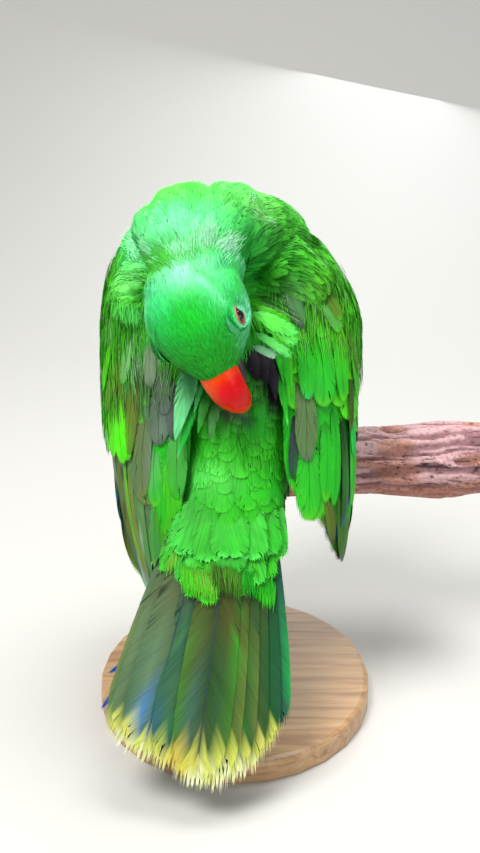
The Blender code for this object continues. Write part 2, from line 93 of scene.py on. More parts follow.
BILL_ROOT = (28.0, -1.0)
BILL_TWIST = math.radians(4.5)
BILL_START_ANGLE = math.radians(6)
BILL_TURN = math.radians(92)
BILL_ARC_RADIUS = 23.5
BILL_HALF_WIDTHS = (10.6, 10.4, 9.8, 8.6, 6.6, 3.6, 1.0)
BILL_RISES = (9.5, 10.4, 10.4, 9.4, 7.4, 4.4, 1.4)
BILL_DROPS = (6.0, 5.6, 4.8, 3.8, 2.8, 1.6, 0.7)
LOWER_BILL_PLACES = (20, 27, 33, 38, 41.5)
LOWER_BILL_HALF_WIDTHS = (8.0, 8.3, 7.6, 5.9, 3.4)
LOWER_BILL_TOPS = (-8.0, -9.0, -11.0, -13.6, -16.5)
LOWER_BILL_DEPTHS = (8.5, 9.5, 9.0, 7.2, 4.0)

WING_STATIONS = (0, 0.12, 0.3, 0.55, 0.8, 1)
WING_SPREADS = {"left": (62, 73, 77, 75, 66, 51), "right": (50, 63, 73, 72.5, 69.5, 63)}
WING_INNER_ANGLES = {"left": (26, 20, 21, 23, 28, 35), "right": (26, 20, 21, 27, 30, 36)}
WING_OUTER_ANGLES = (150, 148, 138, 122, 104, 90)
WING_BACKS = (27, 37, 43, 44, 42, 39)
WING_MIDDLE_DEEP = 44
WING_THICKNESSES = (20, 27, 26, 17, 6, 1.8)
WING_TOPS = {"left": (140, 157, 160, 154, 136), "right": (140, 154, 154, 146, 128)}
WING_ENDS = {"left": (-20, -33, -45, -52, -20), "right": (-8, -17, -26, -35, -16)}

PRIMARIES = (
    ((-40, -20, 42), (-46, -60, 38), (-52.5, -84, 34), (-69, -95, 29)),
    ((-42, -24, 47), (-50, -70, 44), (-57.5, -95, 38), (-73.5, -115, 32)),
)
PRIMARY_HALF_WIDTHS = (3.5, 4.5, 4.0, 0.8)

TAIL_ROOT = (2.0, 33.0)
TAIL_LEAN = math.radians(8.2)
TAIL_HALF_FAN = math.radians(8.6)
TAIL_HALF_VANE = 17.0
TAIL_START = 62
TAIL_REACHES = (158, 172, 181, 187, 184, 178, 177, 172, 165)
TAIL_DEEPS = (3.0, 2.0)
TAIL_ROOF = 5.5

PERCH_MIDDLE = np.array([0.0, 56.0, 132.0])
PERCH_RADIUS = 22.3
PERCH_ENDS = (-62.0, 160.0)
PERCH_RISE = 0.035
PERCH_SMOOTH = 50

FOOT_SIDE = 23.0
THIGH_LINE = ((0.85, 66.0, 44.0), (0.95, 56.0, 64.0), (1.0, 43.0, 80.0))
THIGH_RADII = (20.0, 17.0, 8.0)
SHANK_RADIUS = 4.2
TOE_RADIUS = 3.8
TOE_LIFT = 0.9
TOES = {"inner_front": (1, -11, 62), "outer_front": (1, 12, 84), "inner_back": (-1, -9, 50), "outer_back": (-1, 10, 74)}
ROD_SIDE = 6.0

# ---------------------------------------------------------------- named colours, as seen on a screen


def screen(red, green, blue):
    """A colour given in screen values from 0 to 255, as the linear values that shaders use."""
    value = np.array([red, green, blue]) / 255
    return np.where(value <= 0.04045, value / 12.92, ((value + 0.055) / 1.055) ** 2.4)


GRASS = screen(26, 176, 24)
LIME = screen(86, 204, 16)
DEEP_GREEN = screen(10, 104, 14)
BOTTLE = screen(12, 62, 26)
EMERALD = screen(14, 188, 78)
MINT = screen(124, 248, 176)
TEAL = screen(22, 118, 86)
OLIVE = screen(84, 104, 26)
BROWN = screen(74, 48, 24)
KHAKI = screen(116, 134, 56)
STONE_GREEN = screen(88, 118, 84)
LAVENDER = screen(134, 136, 158)
PALE_HAIR = screen(150, 164, 140)
INDIGO = screen(26, 24, 96)
COBALT = screen(22, 66, 186)
SEA_BLUE = screen(24, 112, 140)
INK = screen(16, 17, 16)
SLATE = screen(58, 64, 62)
LEMON = screen(226, 232, 104)
CREAM = screen(240, 244, 206)
ORANGE = screen(230, 130, 40)
FLAME_RED = screen(186, 26, 20)
DOWN_GREY = screen(92, 100, 84)
# A dark purple for painted shade in the hollow beside the bill.
HOLLOW_SHADE_PURPLE = screen(30, 18, 34)
VIVID_LIME = screen(84, 238, 8)
# A near-white mint, used mostly for painted highlight along the neck's rims.
WHITE_MINT = screen(200, 255, 224)
DUSK_PURPLE = screen(92, 80, 96)

# ---------------------------------------------------------------- small mathematics


def through(keys, values, at):
    """A smooth curve through named stations that makes no bulge of its own between them."""
    keys = np.asarray(keys, float)
    values = np.asarray(values, float)
    steps = np.diff(keys)
    rises = np.diff(values) / steps
    product = rises[1:] * rises[:-1]
    total = rises[1:] + rises[:-1]
    inner = np.where(product > 0, 2 * product / np.where(product > 0, total, 1), 0)
    slopes = np.concatenate(([rises[0]], inner, [rises[-1]]))
    at = np.clip(np.asarray(at, float), keys[0], keys[-1])
    i = np.clip(np.searchsorted(keys, at) - 1, 0, len(steps) - 1)
    h = steps[i]
    t = (at - keys[i]) / h
    start = values[i] * (1 + 2 * t) * (1 - t) ** 2 + slopes[i] * h * t * (1 - t) ** 2
    end = values[i + 1] * t * t * (3 - 2 * t) + slopes[i + 1] * h * t * t * (t - 1)
    return start + end


def even(low, high, at):
    """0 below low, 1 above high, and smooth between them."""
    t = np.clip((np.asarray(at, float) - low) / (high - low), 0, 1)
    return t * t * (3 - 2 * t)


def mix(first, second, share):
    share = np.asarray(share, float)[..., None]
    return first * (1 - share) + second * share


def unit(vectors):
    return vectors / np.maximum(np.linalg.norm(vectors, axis=-1, keepdims=True), 1e-9)


def in_body(side, place, deep):
    side, place, deep = np.broadcast_arrays(side, place, deep)
    return RUMP + side[..., None] * SIDE + place[..., None] * UP_BACK + deep[..., None] * TO_BELLY


def body_place(points):
    """Side, place up the back and depth of points."""
    offset = points - RUMP
    return offset @ SIDE, offset @ UP_BACK, offset @ TO_BELLY


def head_axes():
    level = math.cos(HEAD_TILT)
    forward = np.array([math.sin(HEAD_YAW) * level, -math.sin(HEAD_TILT), -math.cos(HEAD_YAW) * level])
    up = np.array([0.0, -1.0, 0.0])
    up = up - forward * (up @ forward)
    up = up / np.linalg.norm(up)
    left = np.cross(up, forward)
    up = up * math.cos(HEAD_ROLL) - left * math.sin(HEAD_ROLL)
    return forward, up, np.cross(up, forward)


HEAD_FORWARD, HEAD_UP, HEAD_LEFT = head_axes()


def in_head(ahead, up, left):
    ahead, up, left = np.broadcast_arrays(ahead, up, left)
    return HEAD_CENTRE + ahead[..., None] * HEAD_FORWARD + up[..., None] * HEAD_UP + left[..., None] * HEAD_LEFT


def head_place(points):
    offset = points - HEAD_CENTRE
    return offset @ HEAD_FORWARD, offset @ HEAD_UP, offset @ HEAD_LEFT


def on_photo(points):
    """Where points appear in the photo, in its pixels."""
    offset = points - CAMERA_AT
    far = offset @ CAMERA_AHEAD
    across = PHOTO_MIDDLE[0] + FOCAL_PIXELS * (offset @ SIDE) / far
    down = PHOTO_MIDDLE[1] - FOCAL_PIXELS * (offset @ CAMERA_UP) / far
    return across, down


def from_photo(pixel, deep):
    """The point at a depth under the back's plane that appears at this pixel of the photo."""
    ray = CAMERA_AHEAD + SIDE * (pixel[0] - PHOTO_MIDDLE[0]) / FOCAL_PIXELS
    ray = ray - CAMERA_UP * (pixel[1] - PHOTO_MIDDLE[1]) / FOCAL_PIXELS
    return CAMERA_AT + ray * (deep - (CAMERA_AT - RUMP) @ TO_BELLY) / (ray @ TO_BELLY)


def scatter(points, seed):
    """Repeatable random numbers from 0 to 1 at the corners of a grid of cells."""
    cells = np.floor(points).astype(np.int64)
    mixed = cells[..., 0] * 73856093 ^ cells[..., 1] * 19349663 ^ cells[..., 2] * 83492791 ^ (seed * 2654435761)
    mixed = (mixed ^ (mixed >> 13)) * 1274126177
    mixed = mixed ^ (mixed >> 16)
    return (mixed & 0xFFFFFF) / float(0xFFFFFF)


def clouds(points, seed=0):
    """Smooth noise from 0 to 1 with one bump for each unit of length."""
    points = np.asarray(points, float)
    low = np.floor(points)
    t = points - low
    t = t * t * (3 - 2 * t)
    total = 0
    for corner in np.ndindex(2, 2, 2):
        weight = np.prod([t[..., k] if corner[k] else 1 - t[..., k] for k in range(3)], axis=0)
        total = total + weight * scatter(low + np.array(corner), seed)
    return total


# ---------------------------------------------------------------- making meshes


def add_mesh(name, points, faces, look, tints=None, maps=None, numbers=None, smooth=True):
    """A mesh from arrays of points in millimetres and of faces with one number of corners."""
    faces = np.asarray(faces, np.int32)
    corners = faces.shape[1]
    mesh = bpy.data.meshes.new(name)
    mesh.vertices.add(len(points))
    mesh.vertices.foreach_set("co", (np.asarray(points) * MM).astype(np.float32).ravel())
    mesh.loops.add(faces.size)
    mesh.loops.foreach_set("vertex_index", faces.ravel())
    mesh.polygons.add(len(faces))
    mesh.polygons.foreach_set("loop_start", np.arange(0, faces.size, corners, dtype=np.int32))
    mesh.update(calc_edges=True)
    if smooth:
        mesh.shade_smooth()
    if tints is not None:
        layer = mesh.color_attributes.new("tint", "FLOAT_COLOR", "POINT")
        four = np.concatenate((np.clip(tints, 0, 1), np.ones((len(points), 1))), axis=1)
        layer.data.foreach_set("color", four.astype(np.float32).ravel())
    for key, values in (maps or {}).items():
        layer = mesh.uv_layers.new(name=key)
        layer.data.foreach_set("uv", np.asarray(values)[faces.ravel()].astype(np.float32).ravel())
    for key, values in (numbers or {}).items():
        layer = mesh.attributes.new(key, "FLOAT", "POINT")
        layer.data.foreach_set("value", np.asarray(values, np.float32).ravel())
    if look:
        mesh.materials.append(look)
    made = bpy.data.objects.new(name, mesh)
    bpy.context.scene.collection.objects.link(made)
    return made


def ring_faces(rings, sides, closed=True):
    i, j = np.meshgrid(np.arange(rings - 1), np.arange(sides if closed else sides - 1), indexing="ij")
    k = (j + 1) % sides
    quads = np.stack((i * sides + j, i * sides + k, (i + 1) * sides + k, (i + 1) * sides + j), axis=-1)
    return quads.reshape(-1, 4)


def closed_rings(rings):
    """Points and triangles of a closed body through rings, with a fan at each end."""
    count, sides = rings.shape[:2]
    quads = ring_faces(count, sides)
    faces = np.concatenate((quads[:, [0, 1, 2]], quads[:, [0, 2, 3]]))
    points = np.concatenate((rings.reshape(-1, 3), [rings[0].mean(0), rings[-1].mean(0)]))
    j = np.arange(sides)
    k = (j + 1) % sides
    start = np.stack((k, j, np.full(sides, count * sides)), axis=-1)
    last = (count - 1) * sides
    end = np.stack((last + j, last + k, np.full(sides, count * sides + 1)), axis=-1)
    return points, np.concatenate((faces, start, end))


def finished(piece, slot, *nodes):
    """A piece rides on the one body and stands for its nodes, which are hidden. Its slot is not used."""
    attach(piece, "root")
    if nodes:
        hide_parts(*nodes)
    return piece


# ---------------------------------------------------------------- materials


class Nodes:
    """A short way to write a material's nodes."""

    def __init__(self, name):
        self.made = bpy.data.materials.new(name)
        self.made.use_nodes = True
        self.tree = self.made.node_tree
        self.shader = self.tree.nodes["Principled BSDF"]

    def add(self, kind, **sockets):
        node = self.tree.nodes.new(kind)
        for key, value in sockets.items():
            self.put(node, key.replace("_", " "), value)
        return node

    def put(self, node, socket, value):
        target = node.inputs[int(socket)] if socket.isdigit() else node.inputs[socket]
        if isinstance(value, bpy.types.NodeSocket):
            self.tree.links.new(value, target)
        else:
            target.default_value = value

    def math(self, operation, first, second=0.5, clamp=False):
        node = self.tree.nodes.new("ShaderNodeMath")
        node.operation = operation
        node.use_clamp = clamp
        self.put(node, "0", first)
        self.put(node, "1", second)
        return node.outputs[0]

    def ramp(self, value, *stops):
        """Colours or greys along a value from 0 to 1."""
        node = self.tree.nodes.new("ShaderNodeValToRGB")
        elements = node.color_ramp.elements
        while len(elements) < len(stops):
            elements.new(0.5)
        for element, (place, colour) in zip(elements, stops):
            colour = (colour,) * 3 if isinstance(colour, (int, float)) else tuple(colour)
            element.position = place
            element.color = (*colour, 1)
        self.put(node, "Fac", value)
        return node.outputs["Color"]

    def blend(self, share, first, second, kind="MIX"):
        node = self.tree.nodes.new("ShaderNodeMix")
        node.data_type = "RGBA"
        node.blend_type = kind
        for socket, value in ((node.inputs["Factor"], share), (node.inputs[6], first), (node.inputs[7], second)):
            if isinstance(value, bpy.types.NodeSocket):
                self.tree.links.new(value, socket)
            elif socket.type == "RGBA":
                socket.default_value = (*tuple(value), 1)
            else:
                socket.default_value = value
        return node.outputs[2]

    def noise(self, vector, scale, detail=3.0, roughness=0.55, distortion=0.0):
        node = self.add("ShaderNodeTexNoise", Vector=vector, Scale=scale, Detail=detail)
        node.inputs["Roughness"].default_value = roughness
        node.inputs["Distortion"].default_value = distortion
        return node.outputs["Fac"]

    def bump(self, height, strength, distance_mm):
        node = self.add("ShaderNodeBump", Height=height, Strength=strength, Distance=distance_mm * MM)
        self.put(self.shader, "Normal", node.outputs["Normal"])

    def surface(self, colour, roughness, **more):
        self.put(self.shader, "Base Color", colour if not isinstance(colour, np.ndarray) else (*colour, 1))
        self.put(self.shader, "Roughness", roughness)
        for key, value in more.items():
            self.put(self.shader, key.replace("_", " "), value)
        return self.made


def feather_material(name, barbs, sweep, contrast, gloss, shaft=0.35, relief=0.5, sheen=0.25):
    """Tint from the mesh, streaked along the barbs, with a fine line for the shaft."""
    n = Nodes(name)
    tint = n.add("ShaderNodeAttribute")
    tint.attribute_name = "tint"
    chance = n.add("ShaderNodeAttribute")
    chance.attribute_name = "chance"
    vane = n.add("ShaderNodeUVMap")
    vane.uv_map = "vane"
    parts = n.add("ShaderNodeSeparateXYZ", Vector=vane.outputs["UV"])
    off = n.math("ABSOLUTE", n.math("SUBTRACT", parts.outputs["X"], 0.5))
    off = n.math("MULTIPLY", off, 2.0)
    along = n.math("SUBTRACT", parts.outputs["Y"], n.math("MULTIPLY", off, sweep))
    turned = n.add("ShaderNodeCombineXYZ")
    n.put(turned, "X", n.math("MULTIPLY", along, barbs))
    n.put(turned, "Y", n.math("MULTIPLY", parts.outputs["X"], 2.6))
    n.put(turned, "Z", n.math("MULTIPLY", chance.outputs["Fac"], 57.0))
    fine = n.noise(turned.outputs[0], 1.0, 2.0, 0.6)
    broad = n.noise(turned.outputs[0], 0.22, 2.0, 0.5)
    streak = n.math("ADD", n.math("MULTIPLY", fine, 0.7), n.math("MULTIPLY", broad, 0.45))
    dark = 1 - contrast
    shade = n.ramp(streak, (0.36, dark), (0.56, 1.0), (0.78, 1 + 0.5 * contrast))
    colour = n.blend(1.0, tint.outputs["Color"], shade, "MULTIPLY")
    line = n.ramp(off, (0.0, 1 - shaft), (0.05, 1.0))
    colour = n.blend(1.0, colour, line, "MULTIPLY")
    n.bump(streak, relief, 0.35)
    n.put(n.shader, "Specular IOR Level", 0.22)
    n.put(n.shader, "Sheen Weight", sheen)
    n.put(n.shader, "Sheen Roughness", 0.4)
    n.put(n.shader, "Sheen Tint", (0.5, 1.0, 0.6, 1))
    return n.surface(colour, gloss)


def skin_material():
    n = Nodes("skin_down_and_shade")
    tint = n.add("ShaderNodeAttribute")
    tint.attribute_name = "tint"
    place = n.add("ShaderNodeTexCoord")
    fluff = n.noise(place.outputs["Object"], 900.0, 3.0, 0.6)
    shade = n.ramp(fluff, (0.3, 0.65), (0.7, 1.05))
    n.bump(fluff, 0.6, 0.6)
    return n.surface(n.blend(1.0, tint.outputs["Color"], shade, "MULTIPLY"), 0.85, Sheen_Weight=0.2)


# ---------------------------------------------------------------- lofts inside the solids


def trunk_rings(grow, rings=60, sides=64):
    places = np.linspace(TRUNK_PLACES[0], TRUNK_PLACES[-1], rings)
    widths = through(TRUNK_PLACES, TRUNK_HALF_WIDTHS, places)
    depths = through(TRUNK_PLACES, TRUNK_DEPTHS, places)
    drops = through(TRUNK_PLACES, TRUNK_DROPS, places)
    middles = through(TRUNK_PLACES, TRUNK_MIDDLES, places)
    places = places + grow * np.linspace(-1, 1, rings)
    angles = np.arange(sides) * 2 * math.pi / sides
    side = middles[:, None] + np.maximum(widths[:, None] + grow, 0.8) * np.sin(angles)
    half = np.maximum(depths[:, None] / 2 + grow, 0.8)
    deep = drops[:, None] + depths[:, None] / 2 - half * np.cos(angles)
    return in_body(side, places[:, None], deep)


def neck_rings(grow, rings=48, sides=64):
    turns = np.linspace(NECK_ANGLES[0], NECK_ANGLES[-1], rings)
    radii = through(NECK_ANGLES, NECK_RADII, turns)[:, None]
    depths = through(NECK_ANGLES, NECK_HALF_DEPTHS, turns)[:, None] + grow
    widths = through(NECK_ANGLES, NECK_HALF_WIDTHS, turns)[:, None] + grow
    middles = through(NECK_ANGLES, NECK_MIDDLES, turns)[:, None]
    angles = np.arange(sides) * 2 * math.pi / sides
    reach = radii + depths * np.cos(angles)
    turns = np.radians(turns)[:, None]
    place = NECK_FOLD_PLACE + reach * np.sin(turns)
    deep = NECK_FOLD_DEEP + reach * np.cos(turns)
    return in_body(middles + widths * np.sin(angles), place, deep)


def head_rings(grow, rings=48, sides=64):
    ahead = np.linspace(HEAD_PLACES[0], HEAD_PLACES[-1], rings)
    widths = np.maximum(through(HEAD_PLACES, HEAD_HALF_WIDTHS, ahead)[:, None] + grow, 1)
    crowns = np.maximum(through(HEAD_PLACES, HEAD_CROWNS, ahead)[:, None] + grow, 1)
    throats = np.maximum(through(HEAD_PLACES, HEAD_THROATS, ahead)[:, None] + grow, 1)
    ahead = ahead + grow * np.linspace(-1, 1, rings)
    angles = np.arange(sides) * 2 * math.pi / sides
    rise = np.cos(angles)
    heights = np.where(rise > 0, crowns, throats) * rise
    return in_head(ahead[:, None], heights, widths * np.sin(angles) * (1 - CHEEK_FALL * rise))


def on_wing(side_name, share, across, under=0.0):
    """Points of the wing's outer surface, or this far under it."""
    sign = -1 if side_name == "left" else 1
    share, across = np.broadcast_arrays(np.asarray(share, float), np.asarray(across, float))
    keys = np.linspace(0, 1, len(WING_ENDS[side_name]))
    top = through(keys, WING_TOPS[side_name], across)
    end = through(keys, WING_ENDS[side_name], across)
    place = top + (end - top) * share
    inner = through(WING_STATIONS, WING_INNER_ANGLES[side_name], share)
    outer = through(WING_STATIONS, WING_OUTER_ANGLES, share)
    angle = np.radians(inner + (outer - inner) * across)
    spread = through(WING_STATIONS, WING_SPREADS[side_name], share)
    back = through(WING_STATIONS, WING_BACKS, share)
    points = in_body(sign * spread * np.sin(angle), place, WING_MIDDLE_DEEP - back * np.cos(angle))
    inwards = unit(in_body(0, place, WING_MIDDLE_DEEP) - points)
    return points + inwards * np.asarray(under, float)[..., None]


def wing_slab(side_name, rings=40, columns=30):
    """The fleshy part of the wing as one closed body inside its coverts."""
    share = np.linspace(0.02, 0.56, rings)[:, None]
    across = np.linspace(0.02, 0.97, columns)[None, :]
    body = through(WING_STATIONS, WING_THICKNESSES, share)
    edge = np.sqrt(np.clip(1 - (2 * across - 1) ** 4, 0, 1)) * np.clip(share * 12, 0, 1) ** 0.5
    thick = 0.9 + (body - 0.9) * edge
    cover = np.minimum(3.4, thick * 0.5)
    upper = on_wing(side_name, share, across, cover)
    lower = on_wing(side_name, share, across, np.maximum(thick - 1.2, cover + 1.2))
    rings_round = np.concatenate((upper, lower[:, ::-1]), axis=1)
    return closed_rings(rings_round)


def thigh_rings(side_name, grow, rings=24, sides=32):
    sign = -1 if side_name == "left" else 1
    keys = np.linspace(0, 1, len(THIGH_LINE))
    share = np.linspace(0, 1, rings)
    side, place, deep = (through(keys, row, share) for row in np.transpose(THIGH_LINE))
    radii = through(keys, THIGH_RADII, share) + grow
    return tube_rings(in_body(sign * FOOT_SIDE * side, place, deep), radii, sides)


def tube_rings(centres, radii, sides, flat=1.0, across=SIDE):
    centres = np.asarray(centres, float)
    along = unit(np.gradient(centres, axis=0))
    first = unit(across - along * (along @ across)[:, None])
    second = np.cross(along, first)
    angles = np.arange(sides) * 2 * math.pi / sides
    radii = np.broadcast_to(radii, len(centres))[:, None, None]
    offsets = first[:, None] * np.cos(angles)[None, :, None]
    offsets = offsets + second[:, None] * np.sin(angles)[None, :, None] * flat
    return centres[:, None] + offsets * radii


# ---------------------------------------------------------------- one skin under the whole coat

BODY_COAT = 3.4
NECK_COAT = 3.6
HEAD_COAT = 1.5
THIGH_COAT = 2.6
SKIN_VOXEL = 1.5
SKIN_SMOOTHING = 8


# Where the coat fills the hollows between neck, head and wings: from and to in the body's frame, and radii.
SHOULDER_FILLS = (
    ((-42, 132, 14), (-58, 104, 23), 16, 15),
    ((20, 134, 12), (48, 112, 24), 17, 15),
)
NAPE_FILL = ((-8, -1, 0), (-16, 136, -14), 21.5, 25)


def limb_rings(start, end, first, last, rings=24, sides=40):
    """A round body between two points with domed ends."""
    t = np.linspace(0, 1, rings)
    dome = np.sqrt(np.clip(1 - (2 * t - 1) ** 8, 0.02, 1))
    return tube_rings(start + (end - start) * t[:, None], (first + (last - first) * t) * dome, sides)


def joined(parts):
    points, faces, count = [], [], 0
    for part_points, part_faces in parts:
        points.append(part_points)
        faces.append(np.asarray(part_faces) + count)
        count += len(part_points)
    return np.concatenate(points), np.concatenate(faces)


# Folds of the ruffled neck: a line of sides and places on the back's plane, half width and depth.
NECK_FOLDS = (
    (((-12, 176), (-14, 166), (-18, 154), (-22, 146)), 4.5, 4.0),
    (((-48, 170), (-46, 160), (-45, 150), (-48, 138)), 4.0, 3.2),
    (((14, 166), (17, 156), (14, 144)), 5.0, 2.4),
)


def folded(points, normals):
    """The skin with shallow valleys between the ruffled lobes of the neck."""
    side, place, deep = body_place(points)
    facing = even(-0.1, 0.3, normals @ -TO_BELLY) * even(30, 15, deep)
    sink = np.zeros(len(points))
    for line, wide, depth in NECK_FOLDS:
        line = np.array(line, float)
        near = np.full(len(points), 99.0)
        for start, end in zip(line[:-1], line[1:]):
            step = end - start
            off = np.stack((side, place), axis=-1) - start
            at = np.clip((off @ step) / (step @ step), 0, 1)
            near = np.minimum(near, np.linalg.norm(off - at[:, None] * step, axis=1))
        sink = np.maximum(sink, depth * np.exp(-((near / wide) ** 2)))
    return points - normals * (sink * facing)[:, None]


def quad_normals(points, quads):
    corners = points[quads]
    flat = np.cross(corners[:, 2] - corners[:, 0], corners[:, 3] - corners[:, 1])
    normals = np.zeros_like(points)
    for k in range(4):
        np.add.at(normals, quads[:, k], flat)
    return unit(normals + 1e-12)


def make_skin():
    """Inset lofts of the fleshy parts, melted into one surface."""
    parts = [closed_rings(trunk_rings(-BODY_COAT)), closed_rings(neck_rings(-NECK_COAT))]
    parts.append(closed_rings(head_rings(-HEAD_COAT)))
    for side_name in ("left", "right"):
        parts.append(closed_rings(thigh_rings(side_name, -THIGH_COAT)))
        parts.append(wing_slab(side_name))
    for start, end, first, last in SHOULDER_FILLS:
        ends = (in_body(*np.array(start, float)), in_body(*np.array(end, float)))
        parts.append(closed_rings(limb_rings(*ends, first, last)))
    start, end, first, last = NAPE_FILL
    ends = (in_head(*np.array(start, float)), in_body(*np.array(end, float)))
    parts.append(closed_rings(limb_rings(*ends, first, last)))
    points, faces = joined(parts)
    rough = add_mesh("skin_rough", points, faces, None)
    melt = rough.modifiers.new("melt", "REMESH")
    melt.mode = "VOXEL"
    melt.voxel_size = SKIN_VOXEL * MM
    ease = rough.modifiers.new("ease", "SMOOTH")
    ease.factor = 0.5
    ease.iterations = SKIN_SMOOTHING
    made = bpy.data.meshes.new_from_object(rough.evaluated_get(bpy.context.evaluated_depsgraph_get()))
    bpy.data.objects.remove(rough)
    count = len(made.vertices)
    points = np.empty(count * 3)
    made.vertices.foreach_get("co", points)
    normals = np.empty(count * 3)
    made.vertices.foreach_get("normal", normals)
    corners = np.empty(len(made.loops), np.int64)
    made.loops.foreach_get("vertex_index", corners)
    starts = np.empty(len(made.polygons), np.int64)
    made.polygons.foreach_get("loop_start", starts)
    totals = np.empty(len(made.polygons), np.int64)
    made.polygons.foreach_get("loop_total", totals)
    quads = corners[starts[totals == 4][:, None] + np.arange(4)]
    bpy.data.meshes.remove(made)
    points = folded(points.reshape(-1, 3) / MM, normals.reshape(-1, 3))
    return points, quad_normals(points, quads), quads


class Surface:
    """The skin with its smoothed normals, for finding the nearest place on it."""

    def __init__(self, points, normals, quads):
        self.points = points
        self.quads = quads
        self.normals = normals
        for _ in range(6):
            total = np.zeros_like(self.normals)
            for k in range(4):
                np.add.at(total, quads[:, k], self.normals[quads].mean(axis=1))
            self.normals = unit(total + 1e-9 * normals)
        self.tree = BVHTree.FromPolygons([tuple(p) for p in points], [tuple(q) for q in quads])

    def nearest(self, points):
        found = np.empty_like(points)
        faces = np.empty(len(points), np.int64)
        for i, point in enumerate(points):
            place, _, face, _ = self.tree.find_nearest(point)
            found[i] = place
            faces[i] = face
        return found, unit(self.normals[self.quads[faces]].mean(axis=1))


# ---------------------------------------------------------------- the lie of the coat

NAPE = (-19.0, 101.0)


def lie_of_body(points, normals):
    """Which way the feathers of the trunk and neck point: from the nape over the shoulders and down."""
    side, place, deep = body_place(points)
    facing = -(normals @ TO_BELLY)
    across = side - NAPE[0]
    rise = place - NAPE[1]
    far = np.hypot(across, rise)
    turn = np.arctan2(across, rise)
    swept = np.sign(turn) * np.minimum(math.pi, np.abs(turn) * (1.25 + 0.5 * even(15, 75, far)))
    fan = np.sin(swept)[:, None] * SIDE + np.cos(swept)[:, None] * UP_BACK
    down = -UP_BACK + 0.10 * np.sign(side)[:, None] * SIDE
    upper = even(84, 112, place) * even(-0.45, 0.1, facing)
    over = np.exp(-((facing / 0.45) ** 2)) * even(135, 155, place)
    flow = fan * upper[:, None] + down * (1 - upper)[:, None]
    return flow + TO_BELLY * (over * 1.2)[:, None]


def from_eyes(points):
    """Distance of points from the nearer eye's axis, and the way outwards from it."""
    ahead, up, left = head_place(points)
    off = np.stack((ahead - EYE_AT[0], up - EYE_AT[1]), axis=-1)
    far = np.linalg.norm(off, axis=-1)
    far = np.where(np.abs(left) > 8, far, 99.0)
    way = off[..., :1] * HEAD_FORWARD + off[..., 1:] * HEAD_UP
    return far, unit(way)


def lie_of_head(points, normals):
    """From the bill back over the crown and cheeks, and round the eyes."""
    ahead, up, left = head_place(points)
    outwards = up[:, None] * HEAD_UP + left[:, None] * HEAD_LEFT
    far, way = from_eyes(points)
    return -HEAD_FORWARD + 0.02 * outwards + way * (1.6 * even(11, 6, far))[:, None]


def lie_of_nape(points, normals):
    """Where the short coat of the head turns into the long one of the neck."""
    ahead, _, _ = head_place(points)
    back = even(-16, -30, ahead)[:, None]
    return unit(lie_of_head(points, normals)) * (1 - back) + unit(lie_of_body(points, normals)) * back


def lie_of_thigh(points, normals):
    return np.broadcast_to(-UP_BACK * 0.6 + TO_BELLY * 0.7, points.shape)


def traced(surface, roots, lie, lengths, count=8):
    """The line of each feather over the skin, and the skin's normals along it."""
    here, facing = surface.nearest(roots)
    line, normals = [here], [facing]
    for _ in range(count):
        way = lie(here, facing)
        way = unit(way - facing * (way * facing).sum(axis=1, keepdims=True))
        here, facing = surface.nearest(here + way * (lengths / count)[:, None])
        line.append(here)
        normals.append(facing)
    line = np.stack(line, axis=1)
    normals = np.stack(normals, axis=1)
    for _ in range(2):
        line[:, 1:-1] = (line[:, :-2] + 2 * line[:, 1:-1] + line[:, 2:]) / 4
        normals[:, 1:-1] = (normals[:, :-2] + 2 * normals[:, 1:-1] + normals[:, 2:]) / 4
    return line, unit(normals)


# ---------------------------------------------------------------- feathers as meshes


def rounded_outline(s, widest=0.55, power=2.2, root=0.3):
    rising = root + (1 - root) * np.sin(np.clip(s / widest, 0, 1) * math.pi / 2)
    falling = np.clip(1 - np.clip((s - widest) / (1.0 - widest), 0, 1) ** power, 0, 1) ** (1 / power)
    return np.where(s < widest, rising, np.maximum(falling, 0.04))


